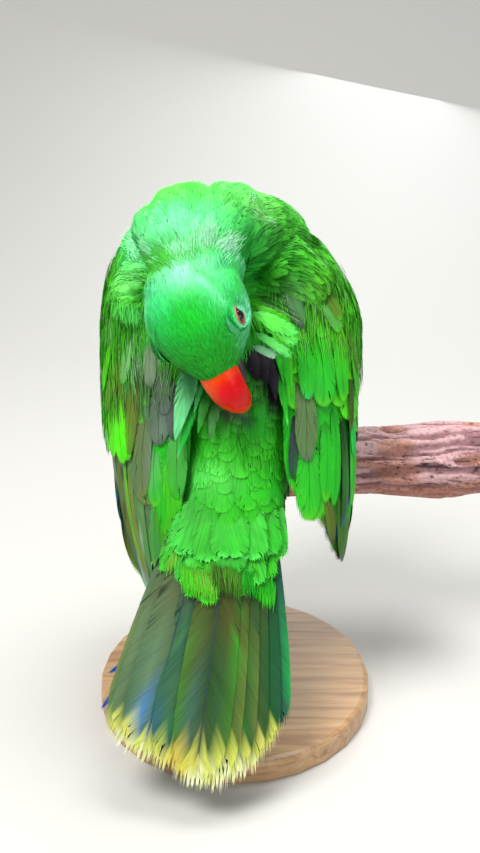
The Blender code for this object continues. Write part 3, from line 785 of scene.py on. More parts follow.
class Vane:
    """One feather's plan: where each point lies along the shaft and off it, and the triangles between."""

    def __init__(self, barbs, rim=0.82, spread=0.16, widest=0.55, power=2.2, root=0.3):
        t = np.linspace(0, 1, barbs + 1)
        start = 0.92 * t**1.1
        end = spread + (1 - spread) * np.sin(math.pi / 2 * t)
        wide = rounded_outline(end, widest, power, root)
        between = (end[1:] + end[:-1]) / 2
        wide_between = rounded_outline(between, widest, power, root)
        count = barbs + 1
        along, off, anchor, kinds = [start], [np.zeros(count)], [start], [np.zeros(count)]
        for sign in (-1, 1):
            along += [start + 0.5 * (end - start), start + 0.86 * (end - start), between + 0.02]
            off += [sign * 0.46 * wide, sign * rim * wide, sign * wide_between]
            anchor += [start, start, (start[1:] + start[:-1]) / 2]
            kinds += [np.full(count, 1), np.full(count, 2), np.full(barbs, 3)]
        along.append(np.array([1.0]))
        off.append(np.array([0.0]))
        anchor.append(np.array([0.92]))
        kinds.append(np.array([4]))
        self.along = np.clip(np.concatenate(along), 0, 1.03)
        self.off = np.concatenate(off)
        self.anchor = np.concatenate(anchor)
        self.kind = np.concatenate(kinds).astype(int)
        self.barbs = barbs
        step = 2 * count + barbs
        tip = len(self.along) - 1
        i = np.arange(barbs)
        faces = []
        for turn, first in ((1, count), (-1, count + step)):
            middle, rims, points = first, first + count, first + 2 * count
            faces += [self.cell(turn, i, middle + i, middle + i + 1, i + 1)[0]]
            faces += [self.cell(turn, i, middle + i, middle + i + 1, i + 1)[1]]
            faces += list(self.cell(turn, middle + i, rims + i, rims + i + 1, middle + i + 1))
            faces.append(self.tri(turn, rims + i, points + i, rims + i + 1))
            last = np.array([barbs])
            faces.append(self.tri(turn, last, rims + last, np.array([tip])))
        self.faces = np.concatenate(faces)
        self.station = np.concatenate((np.arange(count), *[np.arange(count)] * 2, i, *[np.arange(count)] * 2, i, [barbs]))

    @staticmethod
    def tri(turn, a, b, c):
        face = np.stack((a, b, c), axis=-1)
        return face if turn > 0 else face[:, ::-1]

    def cell(self, turn, a, b, c, d):
        return self.tri(turn, a, b, c), self.tri(turn, a, c, d)


class Blade:
    """The plan of a feather too small to show its barbs."""

    along = np.array([0.0, 0.36, 0.36, 0.36, 0.74, 0.74, 1.0])
    off = np.array([0.0, -0.85, 0.0, 0.85, -0.7, 0.7, 0.0])
    kind = np.zeros(7, int)
    station = np.zeros(7, int)
    faces = np.array([(0, 2, 1), (0, 3, 2), (1, 2, 4), (2, 6, 4), (2, 5, 6), (2, 3, 5)])


def grow_feathers(plan, line, normals, half_widths, rng, camber=0.12, ragged=0.3, split=0.06, hold=0.5, lopsided=None, fray=0.0, shards=0.0):
    """Points of every feather on its line. Rims are ragged, and some barbs part in a notch."""
    number, count = line.shape[:2]
    tangents = unit(np.gradient(line, axis=1))
    across = unit(np.cross(normals, tangents))
    lengths = np.linalg.norm(np.diff(line, axis=1), axis=2).sum(axis=1)
    at = np.clip(plan.along, 0, 1) * (count - 1)
    low = np.clip(at.astype(int), 0, count - 2)
    share = (at - low)[None, :, None]

    def along_line(values):
        return values[:, low] * (1 - share) + values[:, low + 1] * share

    middle = along_line(line)
    facing = unit(along_line(normals))
    sideways = unit(along_line(across))
    ahead = unit(along_line(tangents))
    off = np.broadcast_to(plan.off, (number, len(plan.off))).copy()
    if lopsided is not None:
        off = np.where(off < 0, off * lopsided[:, None], off * (2 - lopsided[:, None]))
    push = np.zeros_like(off)
    rims = plan.kind == 2
    tips = plan.kind == 3
    chance = rng.random(off.shape)
    wild = ragged * (1 + fray * even(0.8, 1.0, plan.along[tips]))
    off[:, tips] *= 1 + wild * (chance[:, tips] - 0.55)
    push[:, tips] = wild * (rng.random((number, tips.sum())) - 0.35) * 0.11
    parted = (chance < split) & rims & (plan.station > 1)
    off = np.where(parted, off * hold, off)
    push = np.where(parted, -0.10, push)
    span = half_widths[:, None]
    x = off * span
    wave = (rng.random((number, 1)) - 0.5) * 2
    drop = camber * x**2 / np.maximum(span, 0.1) + 0.02 * span * wave * np.sin(plan.along * 5 + off * 2 + wave * 3)
    if shards:
        outer = (plan.kind >= 2) * even(0.88, 0.96, plan.along)
        groups = (plan.station // 4 + 40 * (plan.off > 0)).astype(int)
        longer = rng.random((number, 90))[:, groups]
        cut = np.isin(plan.station % 4, (0,)) * (0.4 + 0.6 * rng.random((number, 90))[:, groups])
        push = push + outer * shards * (0.45 * longer - 0.2 - cut)
    points = middle + sideways * x[..., None] - facing * drop[..., None]
    points = points + ahead * (push * lengths[:, None])[..., None]
    return points


def lift_line(line, normals, low, high, lift, bend=1.0):
    """Raises each line over the skin from its root to its tip."""
    s = np.linspace(0, 1, line.shape[1])
    height = np.asarray(low)[:, None] + (np.asarray(high) - np.asarray(low))[:, None] * s**bend
    height = height + np.asarray(lift)[:, None] * s**2.5
    return line + normals * height[..., None]


def patch_map(plan, places):
    """A small patch of the baking map for each feather, at its root's place on the unwrapped skin."""
    local = np.stack((plan.off, 2 * np.clip(plan.along, 0, 1) - 1), axis=-1) * 0.0015
    return (places[:, None] + local[None]).reshape(-1, 2)


def feather_object(name, plan, points, tints, places, look, slot, *nodes):
    number = len(points)
    count = len(plan.along)
    faces = (plan.faces[None] + (np.arange(number) * count)[:, None, None]).reshape(-1, 3)
    vane = np.stack((plan.off * 0.5 + 0.5, np.clip(plan.along, 0, 1)), axis=-1)
    chance = scatter(np.stack((np.arange(number), np.arange(number) * 0, np.arange(number) * 0 + 7), axis=-1), 5)
    maps = {"OFBake": patch_map(plan, places), "vane": np.tile(vane, (number, 1))}
    numbers = {"chance": np.repeat(chance, count)}
    made = add_mesh(name, points.reshape(-1, 3), faces, look, tints.reshape(-1, 3), maps, numbers)
    return finished(made, slot, *nodes)


def feather_tints(plan, root, main, edge, edge_start=0.8, base_end=0.45, edge_share=1.0):
    """Each feather's colours from its downy root through its own tint to its rim."""
    s = np.clip(plan.along, 0, 1)[None]
    reach = np.clip(np.abs(plan.off), 0, 1)[None]
    base = even(0.05, base_end, s)
    rim = even(edge_start, 1.02, np.maximum(s, 0.25 * s + 0.75 * reach)) * edge_share
    root, main, edge = (tone if tone.ndim == 3 else tone[:, None] for tone in (root, main, edge))
    shape = (len(root), len(plan.along), 3)
    colour = mix(np.broadcast_to(root, shape), np.broadcast_to(main, shape), base)
    return mix(colour, np.broadcast_to(edge, shape), rim)


def varied(colour, rng, number, bright=0.18, hue=0.08):
    """The same colour for many feathers, each a little different."""
    colour = np.broadcast_to(colour, (number, 3))
    light = 1 + bright * (rng.random((number, 1)) - 0.5) * 2
    shift = 1 + hue * (rng.random((number, 3)) - 0.5) * 2
    return colour * light * shift


def spaced(points, gap, rng):
    """Indices of a random choice of points that keeps each pair at least a gap apart."""
    cells = {}
    chosen = []
    keys = np.floor(points / gap).astype(int)
    around = [(a, b, c) for a in (-1, 0, 1) for b in (-1, 0, 1) for c in (-1, 0, 1)]
    for i in rng.permutation(len(points)):
        x, y, z = keys[i]
        point = points[i]
        free = True
        for a, b, c in around:
            for j in cells.get((x + a, y + b, z + c), ()):
                step = points[j] - point
                if step[0] * step[0] + step[1] * step[1] + step[2] * step[2] < gap * gap:
                    free = False
                    break
            if not free:
                break
        if free:
            cells.setdefault((x, y, z), []).append(i)
            chosen.append(i)
    return np.array(chosen, int)


def sown(surface, mask, gap, rng):
    """Roots spread evenly over the part of the skin that the mask names."""
    corners = surface.points[surface.quads]
    areas = 0.5 * np.linalg.norm(np.cross(corners[:, 2] - corners[:, 0], corners[:, 3] - corners[:, 1]), axis=1)
    weights = np.where(mask, areas, 0)
    number = int(weights.sum() / gap**2 * 3.2)
    picked = rng.choice(len(areas), number, p=weights / weights.sum())
    a, b = rng.random((2, number, 1))
    c = corners[picked]
    points = (c[:, 0] * (1 - a) + c[:, 1] * a) * (1 - b) + (c[:, 3] * (1 - a) + c[:, 2] * a) * b
    return points[spaced(points, gap, rng)]


# ---------------------------------------------------------------- the studio


SWEEP_START = 700.0
SWEEP_RADIUS = 900.0


def make_camera():
    data = bpy.data.cameras.new("camera")
    data.sensor_width = SENSOR
    data.lens = FOCAL_PIXELS / max(PHOTO_SIZE) * SENSOR
    camera = bpy.data.objects.new("camera", data)
    axes = Matrix((SIDE, CAMERA_UP, -CAMERA_AHEAD)).transposed().to_4x4()
    camera.matrix_world = Matrix.Translation(Vector(CAMERA_AT * MM)) @ axes
    bpy.context.scene.collection.objects.link(camera)
    bpy.context.scene.camera = camera


def add_light(name, place, target, size, power, colour):
    data = bpy.data.lights.new(name, "AREA")
    data.shape = "DISK"
    data.size = size
    data.energy = power
    data.color = colour
    light = bpy.data.objects.new(name, data)
    light.location = Vector(place)
    light.rotation_mode = "QUATERNION"
    light.rotation_quaternion = (Vector(place) - Vector(target)).to_track_quat("Z", "Y")
    bpy.context.scene.collection.objects.link(light)


def make_studio():
    """A pale floor that sweeps up behind into a wall, and four soft lights."""
    n = Nodes("studio_floor")
    place = n.add("ShaderNodeTexCoord")
    grain = n.noise(place.outputs["Object"], 1.5, 2.0)
    floor_look = n.surface(n.ramp(grain, (0.3, screen(207, 206, 202)), (0.7, screen(210, 209, 205))), 0.85)
    turns = np.linspace(0, math.pi / 2, 90)
    sweep = SWEEP_RADIUS
    y = np.concatenate(([-5000.0, SWEEP_START - 20], SWEEP_START + sweep * np.sin(turns), [SWEEP_START + sweep]))
    z = np.concatenate(([0.0, 0.0], sweep * (1 - np.cos(turns)), [5000.0]))
    x = np.array([-6000.0, 6000.0])
    rows = np.stack(np.broadcast_arrays(x[None, :], y[:, None], z[:, None]), axis=-1)
    floor = add_mesh("studio_floor", rows.reshape(-1, 3), ring_faces(len(y), 2, False)[:, ::-1], floor_look)
    add_light("key", (-0.45, -0.5, 1.3), (0, 0, 0.2), 0.55, 17, (1.0, 0.98, 0.95))
    add_light("top", (0.2, 0.1, 1.3), (0, 0, 0.2), 0.6, 9, (1.0, 1.0, 1.0))
    add_light("fill", (1.1, -0.8, 0.5), (0, 0, 0.2), 0.9, 4, (0.94, 0.97, 1.0))
    add_light("back", (0.3, 1.2, 0.7), (0, 0, 0.2), 0.9, 5, (0.96, 0.98, 1.0))
    world = bpy.data.worlds.new("studio")
    world.use_nodes = True
    background = world.node_tree.nodes["Background"]
    background.inputs["Color"].default_value = (0.88, 0.9, 0.93, 1)
    background.inputs["Strength"].default_value = 0.42
    scene = bpy.context.scene
    scene.world = world
    scene.view_settings.view_transform = "Standard"


# ---------------------------------------------------------------- the coat of the trunk, neck and head

HEAD_GAP = 0.58
STRAND_GAP = 0.8
BACK_STRAND_GAP = 1.8
NECK_GAP = 2.9
BACK_GAP = 4.8
FRONT_GAP = 5.0
THIGH_GAP = 3.8


# How far down each wing, and how far round it, the loose feathers of the shoulders reach.
CAPE_REACH = {"left": 0.34, "right": 0.24}
CAPE_SPAN = 0.62


def skin_regions(surface):
    """Which part of the coat each face of the skin carries."""
    middles = surface.points[surface.quads].mean(axis=1)
    facing = unit(surface.normals[surface.quads].mean(axis=1))
    side, place, deep = body_place(middles)
    ahead, up, left = head_place(middles)
    from_axis = np.hypot(up, left)
    widths = through(HEAD_PLACES, HEAD_HALF_WIDTHS, ahead)
    head = (ahead > -22) & (ahead < 40) & (from_axis < widths + 5) & (deep < 4)
    wing = np.zeros(len(middles), bool)
    cape = np.zeros(len(middles), bool)
    steps = 40
    share = np.linspace(0.0, 0.6, steps)[:, None]
    across = np.linspace(0, 1, steps)[None, :]
    for side_name in ("left", "right"):
        outer = on_wing(side_name, share, across, 3.0).reshape(-1, 3)
        tree = BVHTree.FromPolygons([tuple(p) for p in outer], [tuple(q) for q in ring_faces(steps, steps, False)])
        found = [tree.find_nearest(p) for p in middles]
        near = np.array([f[3] for f in found]) < 4.2
        cell = np.array([f[2] for f in found])
        along = (cell // (steps - 1)) * 0.6 / (steps - 1)
        over = (cell % (steps - 1)) / (steps - 1)
        cape |= near & (along < CAPE_REACH[side_name] * even(CAPE_SPAN + 0.12, CAPE_SPAN - 0.12, over))
        wing |= near
    wing &= ~cape
    sign_side = np.abs(np.abs(side) - FOOT_SIDE)
    low_front = (place < 66) & (deep > 60) & (sign_side < 21)
    thigh = ~head & ~wing & low_front
    high = (place > 132) | ((place > 104) & (facing @ -TO_BELLY > -0.2))
    neck = ~head & ~thigh & ~wing & (cape | high)
    back = ~head & ~thigh & ~wing & ~neck & (facing @ -TO_BELLY > 0.15)
    front = ~head & ~thigh & ~wing & ~neck & ~back
    back &= place > -34
    front &= ~((place < -40) & (facing @ UP_BACK < -0.35))
    return {"head": head, "wing": wing, "thigh": thigh, "neck": neck, "back": back, "front": front}


def body_unwrap(points):
    """The trunk and neck unrolled round their long axis, as a share of a square map."""
    side, place, deep = body_place(points)
    turn = np.arctan2(side, deep - 38)
    return np.stack((0.5 + turn / (2 * math.pi) * 0.94, 0.03 + 0.94 * (place + 60) / 250), axis=-1)


def head_unwrap(points):
    ahead, up, left = head_place(points)
    turn = np.arctan2(left, up)
    return np.stack((0.5 + turn / (2 * math.pi) * 0.94, 0.03 + 0.94 * (ahead + 34) / 76), axis=-1)


def wear(points, seed, size):
    """Broad patches from 0 to 1 over the coat, for worn and shaded feathers."""
    return clouds(points / size, seed)


PALE_LIME = screen(92, 238, 84)
SPRING = screen(96, 246, 104)

# Soft spots of tone. Each row: side and place of its middle on the back's plane, how far it spreads in
# each, its colour, and how strong it is. On the neck, the mint and pale spots are painted highlight,
# the sheen of the light along the ruffles and round the nape; the other spots are the coat's own greens.
NECK_TONE_AND_HIGHLIGHT_SPOTS = (
    (-28, 160, 24, 14, PALE_LIME, 0.85),
    (-2, 162, 15, 10, SPRING, 0.85),
    (-24, 142, 30, 9, screen(84, 244, 130), 0.9),
    (-27, 132, 30, 9, MINT, 0.85),
    (-54, 136, 9, 16, screen(112, 244, 160), 0.7),
    (-58, 104, 14, 18, screen(78, 240, 40), 0.95),
    (-56, 116, 8, 9, screen(150, 240, 150), 0.6),
    (6, 126, 11, 16, screen(18, 176, 50), 0.85),
    (14, 151, 14, 8, screen(128, 206, 110), 0.55),
    (30, 146, 16, 12, screen(64, 178, 44), 0.8),
    (34, 122, 16, 10, screen(34, 140, 34), 0.6),
    (30, 112, 9, 7, screen(104, 168, 104), 0.6),
    (52, 116, 12, 14, screen(98, 184, 46), 0.7),
)
# On the head, the near-white and pale mint spots are painted highlight, the sheen of the light from above on the crown,
# the nape and the cheek's rim; the other spots are the coat's own greens.
HEAD_TONE_AND_HIGHLIGHT_SPOTS = (
    (-42, 118, 12, 14, screen(132, 252, 204), 0.9),
    (-31, 127, 11, 8, screen(196, 255, 232), 0.9),
    (-12, 128, 9, 8, screen(130, 255, 190), 0.8),
    (-26, 111, 11, 9, screen(160, 252, 214), 0.85),
    (-9, 98, 8, 9, screen(110, 244, 170), 0.6),
    (5, 82, 4, 9, screen(110, 224, 170), 0.8),
    (-20, 86, 18, 13, screen(10, 206, 34), 0.85),
    (-38, 94, 8, 12, screen(60, 236, 140), 0.6),
    (2, 116, 5, 12, screen(40, 232, 84), 0.7),
    (9, 104, 4, 12, screen(130, 255, 196), 0.8),
    (8, 93, 5, 8, screen(150, 250, 222), 0.9),
)


def toned(base, points, spots):
    side, place, _ = body_place(points)
    for at_side, at_place, wide, high, colour, strength in spots:
        near = np.exp(-(((side - at_side) / wide) ** 2) - ((place - at_place) / high) ** 2)
        base = mix(base, colour, np.clip(near * strength, 0, 1))
    return base


# Painted shade in the hollow that the bill parts between the feathers.
HOLLOW_SHADE_SPOTS = (
    (14, 73, 8, 8, HOLLOW_SHADE_PURPLE, 2.4),
    (22, 62, 4, 12, HOLLOW_SHADE_PURPLE, 2.4),
)


def neck_tint(points, normals):
    base = mix(GRASS, LIME, 0.3 + 0.4 * wear(points, 3, 22))
    seen = even(-0.3, 0.2, normals @ -TO_BELLY)
    return mix(base, toned(toned(base, points, NECK_TONE_AND_HIGHLIGHT_SPOTS), points, HOLLOW_SHADE_SPOTS), seen)


# Spots of tone on the back, as on the neck. The dusky spots just under the bill's tip and under its left corner are
# painted shadow of the bill, and the thin black spot is painted shadow beside the pale feather that hangs left of the
# bill; the rest are the coat's own greens.
BACK_TONE_AND_SHADOW_SPOTS = (
    (-30, -16, 10, 16, SPRING, 0.5),
    (-12, 12, 16, 10, screen(96, 222, 90), 0.5),
    (-4, 51, 15, 7, screen(72, 92, 62), 0.95),
    (-2, 46, 8, 4, screen(62, 48, 52), 0.8),
    (6, 44, 5, 5, screen(52, 60, 78), 0.6),
    (13, 56, 6, 8, screen(58, 160, 48), 0.6),
    (-24, 38, 2.2, 10, INK, 0.9),
    (-18, 62, 4, 10, screen(40, 44, 34), 0.6),
    (22, 10, 5, 30, mix(GRASS, DEEP_GREEN, 0.4), 0.6),
)


def back_tint(points, normals):
    base = mix(GRASS, LIME, 0.3 * wear(points, 4, 18))
    place = body_place(points)[1]
    base = mix(base, LIME, even(5, -40, place) * 0.2)
    base = mix(base, SPRING, even(0.45, 0.8, wear(points, 16, 13)) * 0.4)
    base = mix(base, DEEP_GREEN, even(0.5, 0.75, wear(points, 17, 11)) * 0.3)
    return toned(toned(base, points, BACK_TONE_AND_SHADOW_SPOTS), points, HOLLOW_SHADE_SPOTS)


def nape_tint(points, normals):
    ahead, _, _ = head_place(points)
    return mix(head_tint(points, normals), neck_tint(points, normals), even(-16, -28, ahead))


def front_tint(points, normals):
    side, place, deep = body_place(points)
    base = mix(GRASS, LIME, 0.15 + 0.35 * wear(points, 6, 25))
    red = even(12, 26, deep) * even(20, 34, np.abs(side)) * even(60, 30, np.abs(deep - 40)) * even(20, 60, place) * even(150, 120, place)
    return mix(base, FLAME_RED, red * 0.95)


# The ridge from over the eye to the crown, which carries a pale painted highlight: ahead, up and left of the head's
# middle.
BROW_LINE = ((-22, 17.5, 12), (-14, 16.0, 15.5), (-5, 13.5, 18.5), (3, 10.6, 20.6), (7, 8.8, 21.4))


def head_tint(points, normals):
    """Emerald over the crown and grass towards the bill; mint towards the nape and a pale brow ridge are painted
    highlight, and a band under the brow is painted shade.
    """
    ahead, up, left = head_place(points)
    base = mix(EMERALD, GRASS, even(4, 24, ahead) * 0.85)
    base = mix(base, DEEP_GREEN, even(16, 36, ahead) * 0.3)
    # Painted highlight: mint towards the nape.
    base = mix(base, MINT, even(2, -18, ahead) * 0.45)
    # The spots, highlights among them, lie only on the head's upper side.
    base = mix(base, toned(base, points, HEAD_TONE_AND_HIGHLIGHT_SPOTS), even(-2, 8, up + 0.5 * left))
    cheek = even(16, 24, np.abs(left)) * even(7, 0, up)
    base = mix(base, GRASS, cheek * 0.4 * even(-12, 0, ahead))
    base = mix(base, TEAL, cheek * even(12, 24, ahead) * 0.2)
    keys = [row[0] for row in BROW_LINE]
    brow_up = through(keys, [row[1] for row in BROW_LINE], ahead)
    brow_left = through(keys, [row[2] for row in BROW_LINE], ahead)
    off = np.hypot(up - brow_up, np.abs(left) - brow_left)
    # A painted highlight along the brow's ridge, and a painted shade just under it.
    brow = np.exp(-((off / 2.2) ** 2)) * even(11, 6, ahead)
    shade = np.exp(-((np.hypot(up - brow_up + 3.2, np.abs(left) - brow_left - 1.5) / 2.6) ** 2)) * even(8, 2, ahead)
    base = mix(base, GRASS, shade * 0.5)
    return mix(base, MINT, brow * 0.9)


def coat_region(surface, region, name, gap, plan, lie, length, half_width, heights, tint, rng, unwrap, look, **how):
    """Sows, traces, raises, grows and colours the feathers of one region."""
    roots = sown(surface, region, gap, rng)
    number = len(roots)
    lengths = length * (0.85 + 0.3 * rng.random(number))
    lean = how.pop("stray", 0.12) * (rng.random(number) - 0.5) * 2

    def stray(points, normals):
        way = lie(points, normals)
        return unit(way) + np.cross(normals, unit(way)) * lean[:, None]

    line, normals = traced(surface, roots, stray, lengths)
    clear = from_eyes(line)[0].min(axis=1) > EYE_CLEAR
    clear &= np.linalg.norm(line[:, -1] - line[:, 0], axis=1) > 0.62 * lengths
    clear &= (body_place(line[:, -1])[1] > -46) | (body_place(line[:, -1])[2] > 20)
    line, normals, roots, lengths = line[clear], normals[clear], roots[clear], lengths[clear]
    number = len(roots)
    low, high, lift = heights
    dim = how.pop("dim", 0.5)
    jitter = rng.random(number)
    raised = lift_line(line, normals, low + 0.3 * jitter, high + 0.5 * (jitter - 0.5), lift * rng.random(number) ** 3)
    widths = half_width * (0.88 + 0.24 * rng.random(number))
    points = grow_feathers(plan, raised, normals, widths, rng, **how)
    at = line[:, line.shape[1] // 2]
    main = tint(at, normals[:, 4]) * varied(np.ones(3), rng, number)
    edge = mix(main, LIME, 0.25)
    if plan is not Blade:
        inner = tint(points.reshape(-1, 3), np.repeat(normals[:, 4], points.shape[1], axis=0)).reshape(points.shape)
        main = mix(np.broadcast_to(main[:, None], inner.shape), inner, 0.8)
        edge = mix(main, LIME, 0.12) * 1.15
    tints = feather_tints(plan, main * dim, main, edge, 0.86)
    return feather_object(name, plan, points, tints, unwrap(roots), look, "plumage")


def coat_strands(surface, region, name, gap, lie, length, half_width, heights, tint, rng, unwrap, look, clump, pull):
    """Loose hair-like barbs that gather towards the tips of the feathers they belong to."""
    roots = sown(surface, region, gap, rng)
    centres = sown(surface, region, clump, rng)
    number = len(roots)
    lengths = length * (0.7 + 0.6 * rng.random(number))
    lean = 0.16 * (rng.random(number) - 0.5) * 2

    def stray(points, normals):
        way = unit(lie(points, normals))
        return way + np.cross(normals, way) * lean[:, None]

    line, normals = traced(surface, roots, stray, lengths, 4)
    tips = traced(surface, centres, lie, np.full(len(centres), length), 4)[0][:, -1]
    nearest = np.concatenate([
        np.argmin(((part[:, None] - centres[None]) ** 2).sum(axis=2), axis=1) for part in np.array_split(roots, 40)
    ])
    s = np.linspace(0, 1, 5)[None, :, None]
    gather = tips[nearest] - line[:, -1]
    gather = gather - normals[:, -1] * (gather * normals[:, -1]).sum(axis=1, keepdims=True)
    gather = gather / np.maximum(1, np.linalg.norm(gather, axis=1, keepdims=True) / (0.35 * length))
    line = line + pull * s**2 * gather[:, None]
    low, high, lift = heights
    raise_clump = rng.random(len(centres))[nearest]
    raised = lift_line(line, normals, low + 0 * lengths, high * (0.6 + 0.5 * raise_clump), lift * raise_clump**3)
    widths = half_width * (0.7 + 0.6 * rng.random(number))
    points = grow_feathers(Blade, raised, normals, widths, rng, 0.1, 0.0, 0.0)
    main = tint(line[:, 2], normals[:, 2]) * varied(np.ones(3), rng, number, 0.16, 0.06)
    main = main * (0.9 + 0.2 * rng.random(len(centres)))[nearest][:, None]
    side, place, _ = body_place(line[:, 2])
    mantle = even(4, 16, side) * even(158, 140, place)
    # Some strands, most on the mantle's right, are darkened to a third: partly darker under-layers, partly painted
    # shade in the gaps between parted barbs.
    dark = rng.random(number) < STRAND_DARK * (0.25 + 5 * mantle)
    main = np.where(dark[:, None], main * 0.3, main)
    tints = feather_tints(Blade, main * 0.78, main, main * 1.1, 0.7, 0.6)
    return feather_object(name, Blade, points, tints, unwrap(roots), look, "plumage")


STRAND_DARK = 0.04


def make_coat(surface, looks):
    regions = skin_regions(surface)
    rng = np.random.default_rng(11)
    middles = surface.points[surface.quads].mean(axis=1)
    ahead, up, left = head_place(middles)
    high = body_place(middles)[1] > 26
    nape = (regions["head"] | regions["neck"]) & (np.abs(ahead + 21) < 8.5) & (up > -6)
    hairy = Vane(11, rim=0.86, spread=0.22)
    broad = Vane(34, rim=0.93, spread=0.12, widest=0.62, power=2.4, root=0.45)
    soft = Vane(11, rim=0.68)
    coat_region(
        surface, regions["head"], "coat_head", HEAD_GAP, Blade, lie_of_head, 4.4, 0.46, (0.3, 0.8, 0.06),
        head_tint, rng, head_unwrap, looks["velvet"], ragged=0.0, split=0.0, stray=0.1, dim=0.9,
    )
    coat_region(
        surface, regions["neck"], "coat_neck", NECK_GAP, hairy, lie_of_body, 17.5, 2.8, (-0.4, 1.7, 0.3),
        neck_tint, rng, body_unwrap, looks["soft"], ragged=0.5, split=0.1, stray=0.2, dim=0.8,
    )
    coat_strands(
        surface, regions["neck"], "coat_neck_strands", STRAND_GAP, lie_of_body, 14, 0.24, (0.4, 2.2, 0.6),
        neck_tint, rng, body_unwrap, looks["strand"], 5.5, 0.45,
    )
    coat_strands(
        surface, nape, "coat_nape", 0.62, lie_of_nape, 9, 0.22, (0.8, 2.2, 0.5),
        nape_tint, rng, body_unwrap, looks["strand"], 4.0, 0.3,
    )
    coat_strands(
        surface, regions["back"] & high, "coat_back_strands", BACK_STRAND_GAP, lie_of_body, 17, 0.22, (0.6, 2.3, 0.3),
        back_tint, rng, body_unwrap, looks["strand"], 9.0, 0.25,
    )
    coat_region(
        surface, regions["back"], "coat_back", BACK_GAP, broad, lie_of_body, 29, 6.8, (-0.6, 1.6, 0.1),
        back_tint, rng, body_unwrap, looks["body"], ragged=0.26, split=0.05, hold=0.7, dim=0.62,
    )
    coat_region(
        surface, regions["front"], "coat_front", FRONT_GAP, soft, lie_of_body, 17, 6.0, (-1.0, 2.6, 0.8),
        front_tint, rng, body_unwrap, looks["body"], ragged=0.5, split=0.05,
    )
    coat_region(
        surface, regions["thigh"], "coat_thighs", THIGH_GAP, soft, lie_of_thigh, 12, 4.2, (-0.8, 1.9, 0.6),
        front_tint, rng, body_unwrap, looks["soft"], ragged=0.6, split=0.05,
    )
    return regions


# ---------------------------------------------------------------- wings

QUILL_STEPS = 12


def wing_unwrap(share, across):
    return np.stack((0.04 + 0.92 * across, 0.04 + 0.92 * share), axis=-1)


def wing_lines(side_name, starts, ends, under_root, under_tip, steps=QUILL_STEPS, power=1.0, roll=0.05):
    """Shafts over the wing's surface between pairs of shares and places across.

    Each feather is rolled a little, so that its far rim lies over the next feather."""
    s = np.linspace(0, 1, steps)[None, :]
    share = np.clip(starts[:, :1] + (ends[:, :1] - starts[:, :1]) * s, 0, 1)
    across = np.clip(starts[:, 1:] + (ends[:, 1:] - starts[:, 1:]) * s, -0.1, 1.04)
    root = np.asarray(under_root)[:, None]
    tip = np.asarray(under_tip)[:, None]
    under = tip + (root - tip) * (1 - s) ** power
    line = on_wing(side_name, share, across, under)
    beside = unit(on_wing(side_name, share, across + 0.01, under) - line)
    onwards = on_wing(side_name, share + 0.01, across, under) - on_wing(side_name, share - 0.01, across, under)
    facing = unit(np.cross(beside, onwards))
    outwards = line - on_wing(side_name, share, across, under + 1)
    facing = facing * np.sign((facing * outwards).sum(axis=-1, keepdims=True))
    return line, unit(facing - roll * beside)


def wing_row(side_name, shares, acrosses, reach, under, rng, slip=0.0):
    """Starts and ends of a row of coverts, with small differences between them."""
    number = len(acrosses)
    starts = np.stack((np.broadcast_to(shares, number) + 0.01 * (rng.random(number) - 0.5), acrosses), axis=-1)
    ends = starts + np.stack((reach * (0.9 + 0.2 * rng.random(number)), slip + 0.03 * (rng.random(number) - 0.5)), -1)
    return wing_lines(side_name, starts, ends, np.full(number, under[0]), np.full(number, under[1]), 9), starts


# Soft spots of tone on the outer side of each wing, as on the neck.
WING_SPOTS = {
    "left": (
        (-70, 62, 6, 36, screen(84, 200, 20), 0.85),
        (-63.5, 62, 4, 18, screen(104, 96, 44), 0.8),
        (-58, 70, 3, 12, screen(96, 210, 76), 0.6),
        (-54, 77, 4, 8, screen(170, 186, 172), 0.6),
        (-43, 60, 11, 28, screen(84, 106, 82), 0.8),
        (-37, 42, 5, 12, screen(126, 146, 140), 0.75),
        (-60, 28, 5, 15, screen(70, 246, 10), 0.9),
        (-53, 38, 5, 18, screen(116, 124, 60), 0.8),
        (-45, 20, 6, 18, screen(134, 156, 142), 0.75),
        (-34, 2, 5, 22, screen(66, 196, 28), 0.85),
        (-54, -8, 7, 18, screen(112, 132, 70), 0.7),
    ),
    "right": (
        (67, 88, 9, 34, screen(76, 186, 22), 0.8),
        (52, 109, 10, 14, screen(92, 166, 44), 0.7),
        (30, 113, 9, 10, screen(96, 156, 96), 0.75),
        (58, 92, 4, 18, screen(100, 196, 22), 0.7),
        (46, 60, 9, 14, screen(46, 164, 52), 0.7),
        (38, 37, 7, 15, screen(88, 118, 82), 0.8),
        (38, -5, 9, 28, screen(58, 200, 38), 0.8),
        (63, 10, 4, 26, screen(78, 196, 66), 0.7),
        (70, 71, 3, 9, screen(94, 72, 32), 0.7),
    ),
}


def covert_tint(side_name, share, across, points, rng):
    base = mix(GRASS, LIME, 0.3 + 0.5 * wear(points, 8 if side_name == "left" else 9, 20))
    outer = even(0.86, 0.7, across)
    base = mix(base, toned(base, points, WING_SPOTS[side_name]), outer)
    blue = even(0.86, 0.97, across) * even(0.1, 0.3, share)
    base = mix(base, COBALT, blue * 0.8)
    return base * varied(np.ones(3), rng, len(share)) * (1.0 if side_name == "left" else 1.1)


